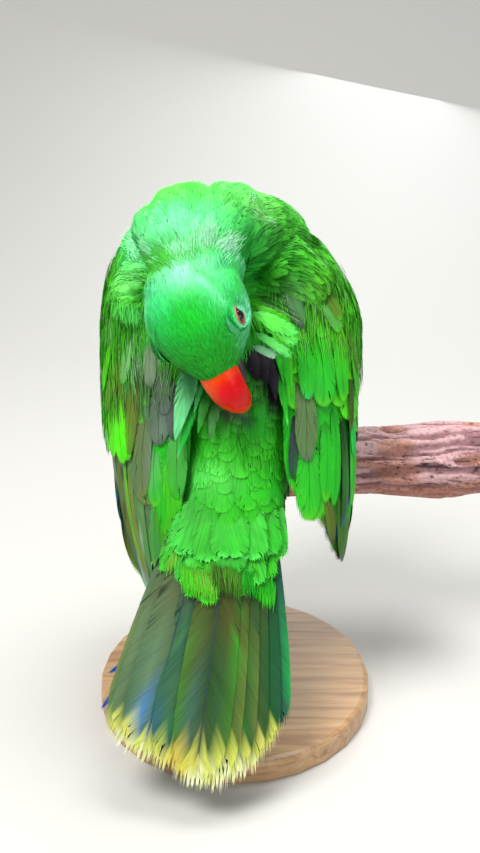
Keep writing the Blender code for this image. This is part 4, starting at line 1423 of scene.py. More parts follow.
def make_coverts(side_name, looks):
    rng = np.random.default_rng(21 if side_name == "left" else 22)
    small, large = [], []
    for row in range(6):
        acrosses = np.arange(0.02 + 0.03 * (row % 2), 1.0, 0.062)
        small.append((0.005 + 0.045 * row, acrosses, 0.17, (4.0, 1.0), 5.6))
    for row in range(3):
        acrosses = np.arange(0.03 + 0.045 * (row % 2), 1.0, 0.09)
        large.append((0.27 + 0.06 * row, acrosses, 0.22, (4.4, 1.4), 8.6))
    small_plan = Vane(24, rim=0.9, power=1.9, widest=0.6)
    large_plan = Vane(48, rim=0.95, power=2.2, widest=0.66, root=0.45)
    for group, plan, name in ((small, small_plan, "small"), (large, large_plan, "large")):
        lines, normals, widths, starts = [], [], [], []
        for share, acrosses, reach, under, half in group:
            covered = share + 0.4 * reach < CAPE_REACH[side_name]
            acrosses = acrosses[acrosses > CAPE_SPAN - 0.1] if covered else acrosses
            (line, facing), start = wing_row(side_name, share, acrosses, reach, under, rng)
            lines.append(line)
            normals.append(facing)
            widths.append(half * (0.9 + 0.2 * rng.random(len(acrosses))))
            starts.append(start)
        line = np.concatenate(lines)
        facing = np.concatenate(normals)
        start = np.concatenate(starts)
        shift = rng.random(len(line))[:, None, None] * 0.3
        points = grow_feathers(plan, line + facing * shift, facing, np.concatenate(widths), rng, 0.09, 0.12, 0.05, 0.7)
        main = covert_tint(side_name, start[:, 0], start[:, 1], line[:, 5], rng)
        root = main * 0.5
        edge = mix(main, LIME, 0.4) * 1.05
        tints = feather_tints(plan, root, main, edge, 0.86)
        places = wing_unwrap(start[:, 0], start[:, 1])
        look = looks["body"] if name == "small" else looks["covert"]
        feather_object(f"wing_{side_name}_coverts_{name}", plan, points, tints, places, look, "flight_feathers")


# Each long feather of a wing, from the back edge to the breast edge:
# share and place across at its root, the same at its tip, half width, colour, colour of its outer rim.
LEFT_QUILLS = (
    (0.36, 0.03, 0.80, 0.05, 10.0, GRASS, LIME),
    (0.38, 0.12, 0.88, 0.14, 11.0, GRASS, LIME),
    (0.40, 0.22, 0.84, 0.26, 11.0, STONE_GREEN, KHAKI),
    (0.42, 0.33, 0.92, 0.38, 11.0, STONE_GREEN, OLIVE),
    (0.42, 0.43, 0.96, 0.50, 10.0, OLIVE, KHAKI),
    (0.42, 0.53, 0.98, 0.62, 9.0, STONE_GREEN, DUSK_PURPLE),
    (0.42, 0.63, 1.00, 0.74, 8.0, OLIVE, LIME),
    (0.42, 0.73, 0.98, 0.83, 7.0, KHAKI, LIME),
    (0.42, 0.82, 0.93, 0.90, 6.5, SEA_BLUE, COBALT),
    (0.40, 0.90, 0.84, 0.95, 6.0, INK, COBALT),
)
RIGHT_QUILLS = (
    (0.36, 0.03, 0.92, 0.05, 10.0, GRASS, LIME),
    (0.38, 0.13, 0.99, 0.15, 11.0, GRASS, LIME),
    (0.40, 0.23, 0.95, 0.26, 11.0, GRASS, OLIVE),
    (0.42, 0.33, 0.97, 0.37, 10.5, DEEP_GREEN, OLIVE),
    (0.42, 0.43, 0.99, 0.48, 10.0, SEA_BLUE, INK),
    (0.42, 0.53, 1.00, 0.58, 9.0, GRASS, INK),
    (0.42, 0.63, 1.00, 0.68, 8.0, OLIVE, INK),
    (0.42, 0.73, 0.98, 0.78, 7.0, INDIGO, INK),
    (0.42, 0.82, 0.94, 0.86, 6.5, INDIGO, INK),
    (0.40, 0.90, 0.84, 0.93, 6.0, INK, COBALT),
)

# Feathers that show singly on the wings. Root and tip in the photo's pixels, half width in mm,
# layer over the wing, own colour, rim colour, and how ragged the rim is.
LEFT_SHOWN = (
    ((166, 470), (160, 562), 5.0, 0, mix(GRASS, OLIVE, 0.4), LIME, 0.3),
    ((160, 480), (157, 574), 4.0, 1, mix(GRASS, STONE_GREEN, 0.5), LIME, 0.3),
    ((136, 468), (154, 590), 6.0, 0, mix(STONE_GREEN, GRASS, 0.3), SLATE, 0.2),
    ((140, 480), (154, 596), 3.4, 1, mix(STONE_GREEN, WHITE_MINT, 0.25), mix(WHITE_MINT, STONE_GREEN, 0.5), 0.2),
    ((174, 440), (172, 536), 6.6, 2, mix(GRASS, LIME, 0.4), LIME, 0.5),
    ((176, 410), (177, 500), 6.0, 3, mix(GRASS, STONE_GREEN, 0.4), GRASS, 0.5),
    ((126, 455), (150, 588), 3.0, 1, KHAKI, LAVENDER, 0.2),
    ((118, 440), (147, 578), 1.6, 1, mix(LIME, KHAKI, 0.5), LIME, 0.2),
    ((166, 450), (168, 538), 5.5, 2, GRASS, LIME, 0.6),
    ((152, 440), (156, 508), 5.2, 2, GRASS, LIME, 0.6),
    ((146, 400), (143, 498), 5.8, 3, mix(OLIVE, STONE_GREEN, 0.5), KHAKI, 0.3),
    ((160, 375), (159, 446), 7.0, 4, mix(STONE_GREEN, SLATE, 0.4), SLATE, 0.7),
    ((136, 368), (129, 455), 5.5, 4, OLIVE, BROWN, 0.5),
    ((118, 380), (123, 463), 6.0, 5, VIVID_LIME, LIME, 0.6),
    ((110, 385), (109, 450), 4.5, 4, LIME, VIVID_LIME, 0.5),
    ((112, 404), (114, 458), 4.6, 4, VIVID_LIME, LIME, 0.5),
    ((124, 402), (128, 460), 4.2, 4, VIVID_LIME, OLIVE, 0.5),
    ((108, 340), (99, 425), 4.0, 5, LIME, LIME, 0.6),
    ((122, 355), (107, 414), 4.2, 6, mix(OLIVE, BROWN, 0.5), DEEP_GREEN, 0.4),
    ((113, 335), (104, 392), 3.4, 7, LIME, GRASS, 0.8),
    ((130, 335), (124, 384), 3.4, 7, mix(PALE_HAIR, GRASS, 0.6), GRASS, 1.2),
    ((158, 345), (166, 415), 6.0, 6, mix(mix(STONE_GREEN, SLATE, 0.5), INK, 0.3), SLATE, 0.9),
    ((150, 336), (152, 388), 4.0, 7, mix(STONE_GREEN, PALE_HAIR, 0.3), SLATE, 1.0),
    ((170, 380), (174, 440), 4.0, 5, SLATE, INK, 0.6),
)
RIGHT_SHOWN = (
    ((312, 430), (306, 525), 8.0, 1, GRASS, LIME, 0.3),
    ((299, 412), (292, 480), 2.8, 0, screen(34, 30, 60), INK, 0.2),
    ((330, 420), (326, 502), 5.0, 2, GRASS, LIME, 0.9),
    ((322, 478), (322, 554), 3.5, 0, OLIVE, BROWN, 0.6),
    ((342, 478), (338, 566), 5.5, 1, mix(OLIVE, DEEP_GREEN, 0.6), DUSK_PURPLE, 0.2),
    ((345, 418), (343, 528), 3.0, 3, INK, SEA_BLUE, 0.4),
    ((338, 408), (334, 506), 4.0, 2, GRASS, GRASS, 0.7),
    ((353, 400), (352, 506), 4.0, 3, GRASS, LIME, 0.5),
    ((352, 370), (350, 432), 2.2, 5, mix(BROWN, INK, 0.4), OLIVE, 0.5),
    ((353, 412), (354, 456), 3.2, 4, EMERALD, EMERALD, 0.5),
    ((304, 372), (307, 461), 6.8, 4, mix(STONE_GREEN, OLIVE, 0.5), DUSK_PURPLE, 0.2),
    ((306, 333), (306, 399), 5.5, 6, GRASS, EMERALD, 0.5),
    ((320, 328), (323, 407), 8.5, 5, GRASS, LIME, 0.5),
    ((338, 328), (342, 402), 5.0, 6, GRASS, LIME, 0.6),
    ((350, 325), (357, 396), 4.0, 7, GRASS, LIME, 0.6),
    ((346, 322), (356, 374), 1.8, 8, mix(BROWN, OLIVE, 0.4), OLIVE, 0.7),
    ((320, 287), (339, 321), 4.0, 9, mix(OLIVE, BROWN, 0.5), GRASS, 0.8),
    ((314, 284), (338, 333), 5.5, 8, mix(STONE_GREEN, GRASS, 0.4), GRASS, 0.8),
    ((282, 281), (300, 328), 4.5, 8, mix(STONE_GREEN, DEEP_GREEN, 0.5), SLATE, 1.0),
)


def make_quills(side_name, rows, looks):
    rng = np.random.default_rng(31 if side_name == "left" else 32)
    plan = Vane(70, rim=0.97, spread=0.06, widest=0.78, power=2.4, root=0.6)
    values = np.array([row[:5] for row in rows], float)
    main = np.array([row[5] for row in rows])
    edge = np.array([row[6] for row in rows])
    number = len(rows)
    order = np.linspace(0, 1, number)
    unders = (4.8 + 0.6 * order, 1.5 + 1.0 * order)
    line, facing = wing_lines(side_name, values[:, :2], values[:, 2:4], *unders, 16, 1.0, 0.06)
    points = grow_feathers(plan, line, facing, values[:, 4], rng, 0.08, 0.08, 0.012, 0.7)
    tints = feather_tints(plan, main * 0.6, main, edge, 0.88, 0.3)
    places = wing_unwrap(values[:, 0], values[:, 1])
    feather_object(f"wing_{side_name}_quills", plan, points, tints, places, looks["quill"], "flight_feathers")
    radius = values[:, 4] * 0.045
    shafts = (line[:, :-1], facing[:, :-1], radius, main * 0.45, places)
    shaft_strips(f"wing_{side_name}_shafts", *shafts, looks["strand"], "flight_feathers")


def shaft_strips(name, line, facing, radius, tints, places, look, slot):
    """A fine raised shaft along each feather, tapering to its tip."""
    number, count = line.shape[:2]
    tangents = unit(np.gradient(line, axis=1))
    across = unit(np.cross(facing, tangents))
    taper = radius[:, None] * (1 - 0.85 * np.linspace(0, 1, count))[None, :]
    left = line - across * taper[..., None] + facing * 0.04
    crest = line + facing * (0.06 + 0.8 * taper)[..., None]
    right = line + across * taper[..., None] + facing * 0.04
    points = np.stack((left, crest, right), axis=2)
    i = np.arange(count - 1) * 3
    faces = []
    for k in (0, 1):
        faces.append(np.stack((i + k, i + k + 3, i + k + 4), axis=-1))
        faces.append(np.stack((i + k, i + k + 4, i + k + 1), axis=-1))
    faces = np.concatenate(faces)
    faces = (faces[None] + (np.arange(number) * count * 3)[:, None, None]).reshape(-1, 3)
    s = np.repeat(np.linspace(-1, 1, count), 3)
    local = np.stack((np.tile((-1.0, 0.0, 1.0), count), s), axis=-1) * 0.0015
    spread = (places[:, None] + local[None]).reshape(-1, 2)
    colours = np.repeat(tints[:, None], count * 3, axis=1).reshape(-1, 3)
    made = add_mesh(name, points.reshape(-1, 3), faces, look, colours, {"OFBake": spread})
    return finished(made, slot)


WING_STEPS = (150, 110)


def wing_lattice(side_name):
    """Places over the wing's outer surface and where each appears in the photo."""
    share, across = np.meshgrid(np.linspace(0, 1, WING_STEPS[0]), np.linspace(-0.05, 0.72, WING_STEPS[1]), indexing="ij")
    seen = on_photo(on_wing(side_name, share, across))
    return share.ravel(), across.ravel(), seen[0].ravel(), seen[1].ravel()


def pinned(lattice, pixel):
    share, across, x, y = lattice
    best = np.argmin((x - pixel[0]) ** 2 + (y - pixel[1]) ** 2)
    return share[best], across[best]


# How many loose barbs each wing carries, and how far down they reach.
WING_STRANDS = {"left": (1700, 0.46), "right": (1000, 0.34)}


def make_wing_strands(side_name, looks):
    """Fine loose barbs in streaks over the coverts and the feathers that stand out."""
    rng = np.random.default_rng(55 if side_name == "left" else 56)
    number, reach = WING_STRANDS[side_name]
    share = 0.06 + (reach - 0.06) * rng.random(number)
    across = 0.0 + 0.92 * rng.random(number)
    starts = np.stack((share, across), axis=-1)
    clump = clouds(np.stack((share * 14, across * 26, share * 0), axis=-1), 57)
    turn = 0.05 * (clump - 0.5) + 0.02 * rng.normal(size=number)
    ends = starts + np.stack((0.08 + 0.1 * rng.random(number), turn), axis=-1)
    high = 0.3 - 1.7 * rng.random(number)
    line, facing = wing_lines(side_name, starts, ends, high + 2.2, high, 7, 2.0, 0.0)
    widths = 0.12 + 0.16 * rng.random(number)
    points = grow_feathers(Blade, line, facing, widths, rng, 0.1, 0.0, 0.0)
    main = covert_tint(side_name, share, across, line[:, 3], rng) * (0.7 + 0.7 * clump)[:, None]
    streak = rng.random(number)
    main = np.where((streak < 0.12)[:, None], main * 0.25, main)
    main = np.where((streak > 0.9)[:, None], mix(main, PALE_HAIR, 0.5), main)
    tints = feather_tints(Blade, main * 0.75, main, main * 1.1, 0.8)
    places = wing_unwrap(share, across)
    feather_object(f"wing_{side_name}_strands", Blade, points, tints, places, looks["strand"], "plumage")


SHOWN_BASE = 0.9
SHOWN_STEP = 0.26


def make_shown(side_name, rows, looks):
    """The feathers that stand out singly on a wing, from the lowest layer up."""
    rng = np.random.default_rng(51 if side_name == "left" else 52)
    plan = Vane(64, rim=0.965, spread=0.08, widest=0.6, power=2.1, root=0.5)
    lattice = wing_lattice(side_name)
    starts = np.array([pinned(lattice, row[0]) for row in rows])
    ends = np.array([pinned(lattice, row[1]) for row in rows])
    half = np.array([row[2] for row in rows])
    layer = np.array([row[3] for row in rows], float)
    main = np.array([row[4] for row in rows])
    edge = np.array([row[5] for row in rows])
    ragged = np.array([row[6] for row in rows])
    height = SHOWN_BASE - SHOWN_STEP * layer
    line, facing = wing_lines(side_name, starts, ends, height + 2.6, height, 16, 3.0, 0.02)
    points = grow_feathers(plan, line, facing, half, rng, 0.08, ragged[:, None] * 0.4, 0.035, 0.7)
    tints = feather_tints(plan, main * 0.6, main, edge, 0.84, 0.3)
    tints = mix(tints, toned(tints, points, WING_SPOTS[side_name]), 0.45)
    tints = tints * (0.88 + 0.24 * clouds(points / 5.0, 61))[..., None]
    places = wing_unwrap(starts[:, 0], starts[:, 1])
    feather_object(f"wing_{side_name}_shown", plan, points, tints, places, looks["covert"], "flight_feathers")
    shafts = (line[:, :-1], facing[:, :-1], half * 0.045, main * 0.5, places)
    shaft_strips(f"wing_{side_name}_shown_shafts", *shafts, looks["strand"], "flight_feathers")


def make_clear_primaries(looks):
    """The two primaries that stand clear of the left wing past the tail's edge."""
    rng = np.random.default_rng(33)
    plan = Vane(40, rim=0.93, spread=0.05, widest=0.45, power=1.5, root=0.6)
    s = np.linspace(0, 1, 14)
    lines = []
    for line in PRIMARIES:
        keys = np.linspace(0, 1, len(line))
        side, place, deep = (through(keys, row, s) for row in np.transpose(line))
        lines.append(in_body(side, place, deep + 0.2))
    line = np.stack(lines)
    facing = np.broadcast_to(-TO_BELLY, line.shape)
    main = np.array([SEA_BLUE, INDIGO])
    edge = np.array([COBALT, COBALT])
    points = grow_feathers(plan, line, facing, np.array([4.4, 4.4]), rng, 0.06, 0.25, 0.03, 0.6)
    tints = feather_tints(plan, main * 0.5, main, edge, 0.8, 0.3)
    places = np.array([[0.3, 0.98], [0.6, 0.98]])
    nodes = ("primary_left_1", "primary_left_2")
    feather_object("primaries_clear", plan, points, tints, places, looks["quill"], "flight_feathers", *nodes)


# ---------------------------------------------------------------- tail

# Each tail feather: place across the fan from the bird's right at its root and its tip, layer, half width,
# its own colour, its rim's colour and its shaft's.
TAIL_GREY = screen(84, 112, 74)
TAIL_TEAL = screen(34, 88, 66)
TAIL_OLIVE = screen(72, 88, 38)
TAIL_BROWN = screen(74, 68, 32)
TAIL_DARK = screen(24, 76, 38)
TAIL_PURPLE = screen(46, 70, 78)
TAIL_ROWS = (
    (-0.86, -0.96, 6, 13.0, TAIL_TEAL, EMERALD, INK),
    (-0.72, -0.82, 5, 13.0, TAIL_DARK, TAIL_TEAL, INK),
    (-0.58, -0.64, 4, 13.0, TAIL_OLIVE, TAIL_DARK, INK),
    (-0.42, -0.46, 3, 14.0, TAIL_DARK, KHAKI, INK),
    (-0.26, -0.27, 2, 14.0, TAIL_OLIVE, KHAKI, TAIL_BROWN),
    (-0.07, -0.08, 1, 15.5, TAIL_OLIVE, mix(TAIL_OLIVE, GRASS, 0.4), TAIL_PURPLE),
    (0.22, 0.24, 4, 15.0, TAIL_TEAL, TAIL_DARK, INK),
    (0.50, 0.62, 2, 17.0, TAIL_GREY, TAIL_TEAL, TAIL_PURPLE),
    (0.74, 0.86, 3, 14.0, TAIL_GREY, STONE_GREEN, SLATE),
    (0.90, 0.98, 4, 12.0, STONE_GREEN, KHAKI, SLATE),
)
# Broad tones over the tail's upper side: side, place, how far each way, colour, strength and patchiness.
TAIL_SPOTS = (
    (4, -82, 16, 40, screen(34, 74, 28), 0.5, 0.2),
    (-48, -80, 12, 28, screen(104, 130, 90), 0.8, 0.2),
    (-32, -50, 10, 12, screen(92, 92, 58), 0.8, 0.3),
    (-39, -96, 6, 22, screen(74, 122, 104), 0.6, 0.2),
    (-46, -112, 3.4, 11, screen(52, 128, 210), 0.85, 0.0),
    (-34, -116, 6, 12, screen(40, 104, 70), 0.7, 0.1),
    (-23, -80, 6, 14, screen(90, 146, 62), 0.6, 0.8),
    (-29, -108, 5, 18, screen(70, 102, 46), 0.7, 0.3),
    (-20, -112, 3.4, 20, screen(40, 112, 118), 0.7, 0.1),
    (-4, -62, 9, 12, screen(82, 74, 28), 0.85, 0.2),
    (-10, -100, 6, 32, screen(18, 86, 46), 0.8, 0.1),
    (4, -83, 3.0, 26, screen(48, 170, 38), 0.9, 0.9),
    (10, -68, 3.5, 22, screen(74, 70, 30), 0.75, 0.3),
    (16, -88, 5.5, 36, screen(18, 88, 42), 0.85, 0.3),
)
# Where the lemon band begins: sides, and the place at each.
BAND_SIDES = (-62, -52, -43, -33, -18, -5, 8, 16, 22)
BAND_PLACES = (-112, -120, -124, -129, -132, -131, -128, -124, -121)


def on_tail(across, share, under=0.0):
    lean = TAIL_LEAN + TAIL_HALF_FAN * across
    reach = through(np.linspace(-1, 1, len(TAIL_REACHES)), TAIL_REACHES, across)
    far = TAIL_START - 14 + (reach - TAIL_START + 14) * share
    side = TAIL_ROOT[0] - far * np.sin(lean) - TAIL_HALF_VANE * across
    place = TAIL_ROOT[1] - far * np.cos(lean)
    deep = TAIL_DEEPS[0] + (TAIL_DEEPS[1] - TAIL_DEEPS[0]) * share + TAIL_ROOF * across**2
    return in_body(side, place, deep + under)


def make_tail(looks):
    """Fanned feathers with worn patches, a lemon band and frayed cream tips."""
    rng = np.random.default_rng(41)
    plan = Vane(96, rim=0.95, spread=0.04, widest=0.78, power=2.2, root=0.55)
    starts, ends, layer, half = (np.array([row[k] for row in TAIL_ROWS], float) for k in range(4))
    main, rim, shaft = (np.array([row[k] for row in TAIL_ROWS]) for k in range(4, 7))
    number = len(TAIL_ROWS)
    s = np.linspace(0, 1, 16)[None, :]
    reach = 1.0 - 0.03 * rng.random(number)[:, None]
    across = starts[:, None] + (ends - starts)[:, None] * s
    line = on_tail(across, s * reach, 0.2 + layer[:, None] * 0.36)
    facing = np.broadcast_to(-TO_BELLY, line.shape)
    points = grow_feathers(plan, line, facing, half, rng, 0.04, 0.05, 0.0, 0.85, fray=2.0, shards=0.07)
    share = np.clip(plan.along, 0, 1)[None, :] + np.zeros((number, 1))
    shape = (number, share.shape[1], 3)
    side, place, _ = body_place(points)
    tints = np.broadcast_to(main[:, None], shape) * (0.82 + 0.36 * clouds(points / 7.0, 65))[..., None]
    barbs = points / np.array([3.0, 16.0, 16.0])
    for at_side, at_place, wide, high, colour, strength, patchy in TAIL_SPOTS:
        near = np.exp(-(((side - at_side) / wide) ** 2) - ((place - at_place) / high) ** 2)
        broken = 1 - patchy + patchy * even(0.38, 0.56, clouds(barbs, int(at_side) + 90))
        tints = mix(tints, np.broadcast_to(colour, shape), near * strength * broken)
    brim = even(0.78, 0.98, np.abs(plan.off))[None, :] * np.ones((number, 1))
    tints = mix(tints, np.broadcast_to(rim[:, None], shape), brim * 0.55)
    dark = even(0.16, 0.02, np.abs(plan.off))[None, :] * np.ones((number, 1))
    tints = tints * (1 - 0.3 * dark)[..., None]
    start = through(BAND_SIDES, BAND_PLACES, side) + 7.0 * (clouds(points / 3.5, 63) - 0.5)
    band = even(start + 2.5, start - 2.0, place)
    lemon = mix(screen(196, 208, 84), CREAM, even(0.2, 0.9, (start - place) / 22 + 0.5 * (clouds(points / 3.0, 66) - 0.5)))
    tints = mix(tints, lemon, band)
    gold = np.exp(-(((side + 27) / 9) ** 2)) * even(start - 16, start - 4, place) * even(0.3, 0.6, clouds(points / 5.0, 64))
    tints = mix(tints, np.broadcast_to(screen(214, 168, 46), shape), gold * band * 0.8)
    tan = even(0.55, 0.7, clouds(points / 4.0, 67)) * band
    tints = mix(tints, np.broadcast_to(screen(200, 190, 96), shape), tan * 0.5)
    places = np.stack((0.5 + 0.45 * starts, np.full(number, 0.05)), axis=-1)
    feather_object("tail_feathers", plan, points, tints, places, looks["quill"], "flight_feathers", "tail")
    upto = int(0.9 * line.shape[1])
    shafts = (line[:, :upto], facing[:, :upto], np.full(number, 0.75), shaft, places)
    shaft_strips("tail_shafts", *shafts, looks["strand"], "flight_feathers")


# The rump's last feathers lie over the tail's roots. Root and tip in the photo's pixels, half width in mm,
# layer, colour, rim colour and raggedness.
RUMP_SHOWN = (
    ((196, 496), (194, 556), 8.0, 5, mix(GRASS, SPRING, 0.2), SPRING, 0.6),
    ((187, 500), (182, 556), 5.8, 6, mix(GRASS, SPRING, 0.3), SPRING, 0.8),
    ((181, 506), (174, 563), 4.6, 4, mix(GRASS, LIME, 0.3), LIME, 0.9),
    ((176, 514), (168, 572), 2.8, 3, mix(GRASS, LIME, 0.5), LIME, 1.1),
    ((212, 498), (212, 562), 8.4, 4, mix(GRASS, LIME, 0.2), SPRING, 0.5),
    ((230, 500), (230, 558), 8.4, 5, mix(GRASS, SPRING, 0.2), SPRING, 0.5),
    ((248, 498), (248, 560), 8.6, 6, mix(GRASS, SPRING, 0.3), SPRING, 0.5),
    ((265, 500), (266, 556), 7.0, 4, GRASS, SPRING, 0.6),
    ((277, 502), (277, 560), 5.0, 2, mix(GRASS, DEEP_GREEN, 0.3), LIME, 0.8),
    ((174, 526), (167, 574), 4.6, 3, mix(GRASS, LIME, 0.3), LIME, 1.2),
    ((188, 534), (188, 584), 6.2, 4, GRASS, SPRING, 0.5),
    ((204, 544), (202, 592), 5.6, 3, mix(GRASS, LIME, 0.3), VIVID_LIME, 1.2),
    ((217, 536), (216, 578), 4.4, 3, mix(GRASS, OLIVE, 0.4), LIME, 1.0),
    ((232, 530), (231, 572), 6.4, 4, mix(GRASS, DEEP_GREEN, 0.5), GRASS, 0.4),
    ((249, 540), (249, 586), 7.4, 5, mix(GRASS, SPRING, 0.25), SPRING, 0.4),
    ((266, 534), (266, 580), 5.0, 4, GRASS, LIME, 0.7),
    ((264, 556), (262, 602), 3.8, 2, mix(GRASS, DEEP_GREEN, 0.3), GRASS, 1.0),
    ((196, 556), (193, 598), 4.6, 2, GRASS, LIME, 1.3),
    ((209, 560), (209, 604), 4.4, 1, mix(GRASS, LIME, 0.4), VIVID_LIME, 1.3),
    ((240, 560), (238, 596), 5.0, 2, mix(DEEP_GREEN, OLIVE, 0.5), GRASS, 1.2),
    ((224, 556), (224, 590), 4.6, 1, OLIVE, KHAKI, 1.3),
)
# Loose hairs at the rump's edge: a line of roots in pixels, how many, the way and length of their tips.
RUMP_HAIRS = (
    (((176, 548), (168, 556)), 50, (-4, 20), mix(LIME, KHAKI, 0.5)),
    (((180, 564), (214, 578)), 220, (1, 24), mix(LIME, GRASS, 0.4)),
    (((190, 566), (214, 574)), 60, (2, 26), mix(KHAKI, LIME, 0.5)),
    (((212, 562), (242, 570)), 110, (2, 26), mix(OLIVE, GRASS, 0.4)),
    (((214, 566), (242, 574)), 90, (0, 24), mix(BROWN, DEEP_GREEN, 0.5)),
    (((242, 570), (270, 576)), 160, (0, 22), mix(GRASS, DEEP_GREEN, 0.3)),
    (((262, 574), (274, 584)), 80, (-1, 28), mix(GRASS, LIME, 0.2)),
)


def on_rump(side, place, above):
    """Points over the rump and the tail's roots, a height above them."""
    slope = np.interp(place, (-70, -52, -30, -10, 20), (2.4, 2.2, 1.2, 1.2, 1.6))
    rump = slope + 7 * ((side + 3) / 22.0) ** 2 - 1.0
    far = (TAIL_ROOT[1] - place) / math.cos(TAIL_LEAN)
    across = (TAIL_ROOT[0] - side - far * math.sin(TAIL_LEAN)) / (TAIL_HALF_VANE + far * TAIL_HALF_FAN)
    tail = TAIL_DEEPS[1] - 0.4 + TAIL_ROOF * np.clip(across, -1.1, 1.1) ** 2
    rump = mix(rump[..., None], np.minimum(rump, tail)[..., None], even(0, -12, place))[..., 0]
    return in_body(side, place, rump - above)


def make_rump_fringe(looks):
    """The scalloped feathers of the rump's end, and the loose hairs between them."""
    rng = np.random.default_rng(43)
    s = np.linspace(0, 1, 10)[None, :]
    roots = np.array([body_place(from_photo(row[0], 0.0))[:2] for row in RUMP_SHOWN])
    tips = np.array([body_place(from_photo(row[1], 0.0))[:2] for row in RUMP_SHOWN])
    half = np.array([row[2] for row in RUMP_SHOWN])
    layer = np.array([row[3] for row in RUMP_SHOWN], float)[:, None]
    main = np.array([row[4] for row in RUMP_SHOWN])
    edge = np.array([row[5] for row in RUMP_SHOWN])
    ragged = np.array([row[6] for row in RUMP_SHOWN])[:, None]
    side = roots[:, :1] + (tips - roots)[:, :1] * s
    place = roots[:, 1:] + (tips - roots)[:, 1:] * s
    line = on_rump(side, place, 0.13 * layer + 0.5 - 7.0 * (1 - s) ** 1.6)
    facing = np.broadcast_to(-TO_BELLY, line.shape)
    plan = Vane(44, 0.95, 0.14, 0.76, 2.8, 0.6)
    points = grow_feathers(plan, line, facing, half * 1.28, rng, 0.035, ragged * 0.4, 0.0, 0.8, fray=1.0, shards=0.05)
    main = mix(main, back_tint(line[:, 6], facing[:, 6]), 0.4)
    tints = feather_tints(plan, main * 0.7, main * 0.92, mix(main, edge, 0.5), 0.86, 0.6)
    tints = tints * (0.8 + 0.4 * clouds(points / 4.0, 44))[..., None]
    places = np.clip(body_unwrap(line[:, 0]), 0.02, 0.98)
    feather_object("rump_coverts", plan, points, tints, places, looks["body"], "plumage")
    lines, mains = [], []
    for path, number, way, colour in RUMP_HAIRS:
        path = np.array(path, float)
        at = rng.random((number, 1))
        start = path[0] + (path[1] - path[0]) * at + rng.normal(0, 1.6, (number, 2))
        clump = np.floor(at * number / 7)
        step = np.array(way) * (0.75 + 0.4 * rng.random((number, 1))) + 2.2 * np.sin(clump * np.array([12.9, 78.2]))
        first = np.array([body_place(from_photo(row, 0.0))[:2] for row in start])
        last = np.array([body_place(from_photo(row, 0.0))[:2] for row in start + step])
        side = first[:, :1] + (last - first)[:, :1] * s
        place = first[:, 1:] + (last - first)[:, 1:] * s
        lines.append(on_rump(side, place, 1.2 + 1.5 * rng.random((number, 1)) * s))
        mains.append(colour * (0.75 + 0.5 * rng.random((number, 1))))
    line, main = np.concatenate(lines), np.concatenate(mains)
    facing = np.broadcast_to(-TO_BELLY, line.shape)
    widths = 0.16 + 0.16 * rng.random(len(line))
    points = grow_feathers(Blade, line, facing, widths, rng, 0.1, 0.0, 0.0)
    tints = feather_tints(Blade, main * 0.7, main, main * 1.1, 0.85)
    places = np.clip(body_unwrap(line[:, 0]), 0.02, 0.98)
    feather_object("rump_hairs", Blade, points, tints, places, looks["strand"], "plumage")


# ---------------------------------------------------------------- feathers ruffled by the bill

# Each stands off the body beside the head. Root and tip in the photo's pixels, each with its depth in mm
# under the back's plane, then half width in mm, colour, rim colour, raggedness and sag in mm.
COMBED = (
    ((252, 312), -14, (296, 336), -12, 4.4, mix(LIME, SPRING, 0.5), SPRING, 1.2, 3.0),
    ((258, 320), -13, (297, 344), -11, 3.2, mix(LIME, SPRING, 0.4), SPRING, 1.2, 2.6),
    ((254, 332), -12, (291, 356), -10, 2.6, mix(LIME, MINT, 0.3), SPRING, 1.1, 2.5),
    ((252, 346), -10, (276, 356), -8, 2.4, mix(GRASS, WHITE_MINT, 0.5), WHITE_MINT, 1.4, 1.5),
    ((256, 306), -12, (290, 326), -10, 3.2, mix(LIME, GRASS, 0.5), LIME, 1.0, 3.4),
    ((258, 292), -9, (298, 314), -5, 0.2, INK, INK, 0.4, 2.0),
    ((259, 297), -9, (302, 321), -5, 0.2, INK, INK, 0.4, 2.4),
    ((260, 301), -9, (300, 322), -5, 0.22, PALE_HAIR, PALE_HAIR, 0.4, 2.2),
    ((258, 305), -10, (301, 327), -6, 0.2, INK, SLATE, 0.4, 2.4),
    ((259, 309), -10, (296, 329), -6, 0.2, PALE_HAIR, PALE_HAIR, 0.4, 2.0),
    ((260, 289), -8, (288, 300), -5, 0.18, INK, INK, 0.4, 2.0),
)
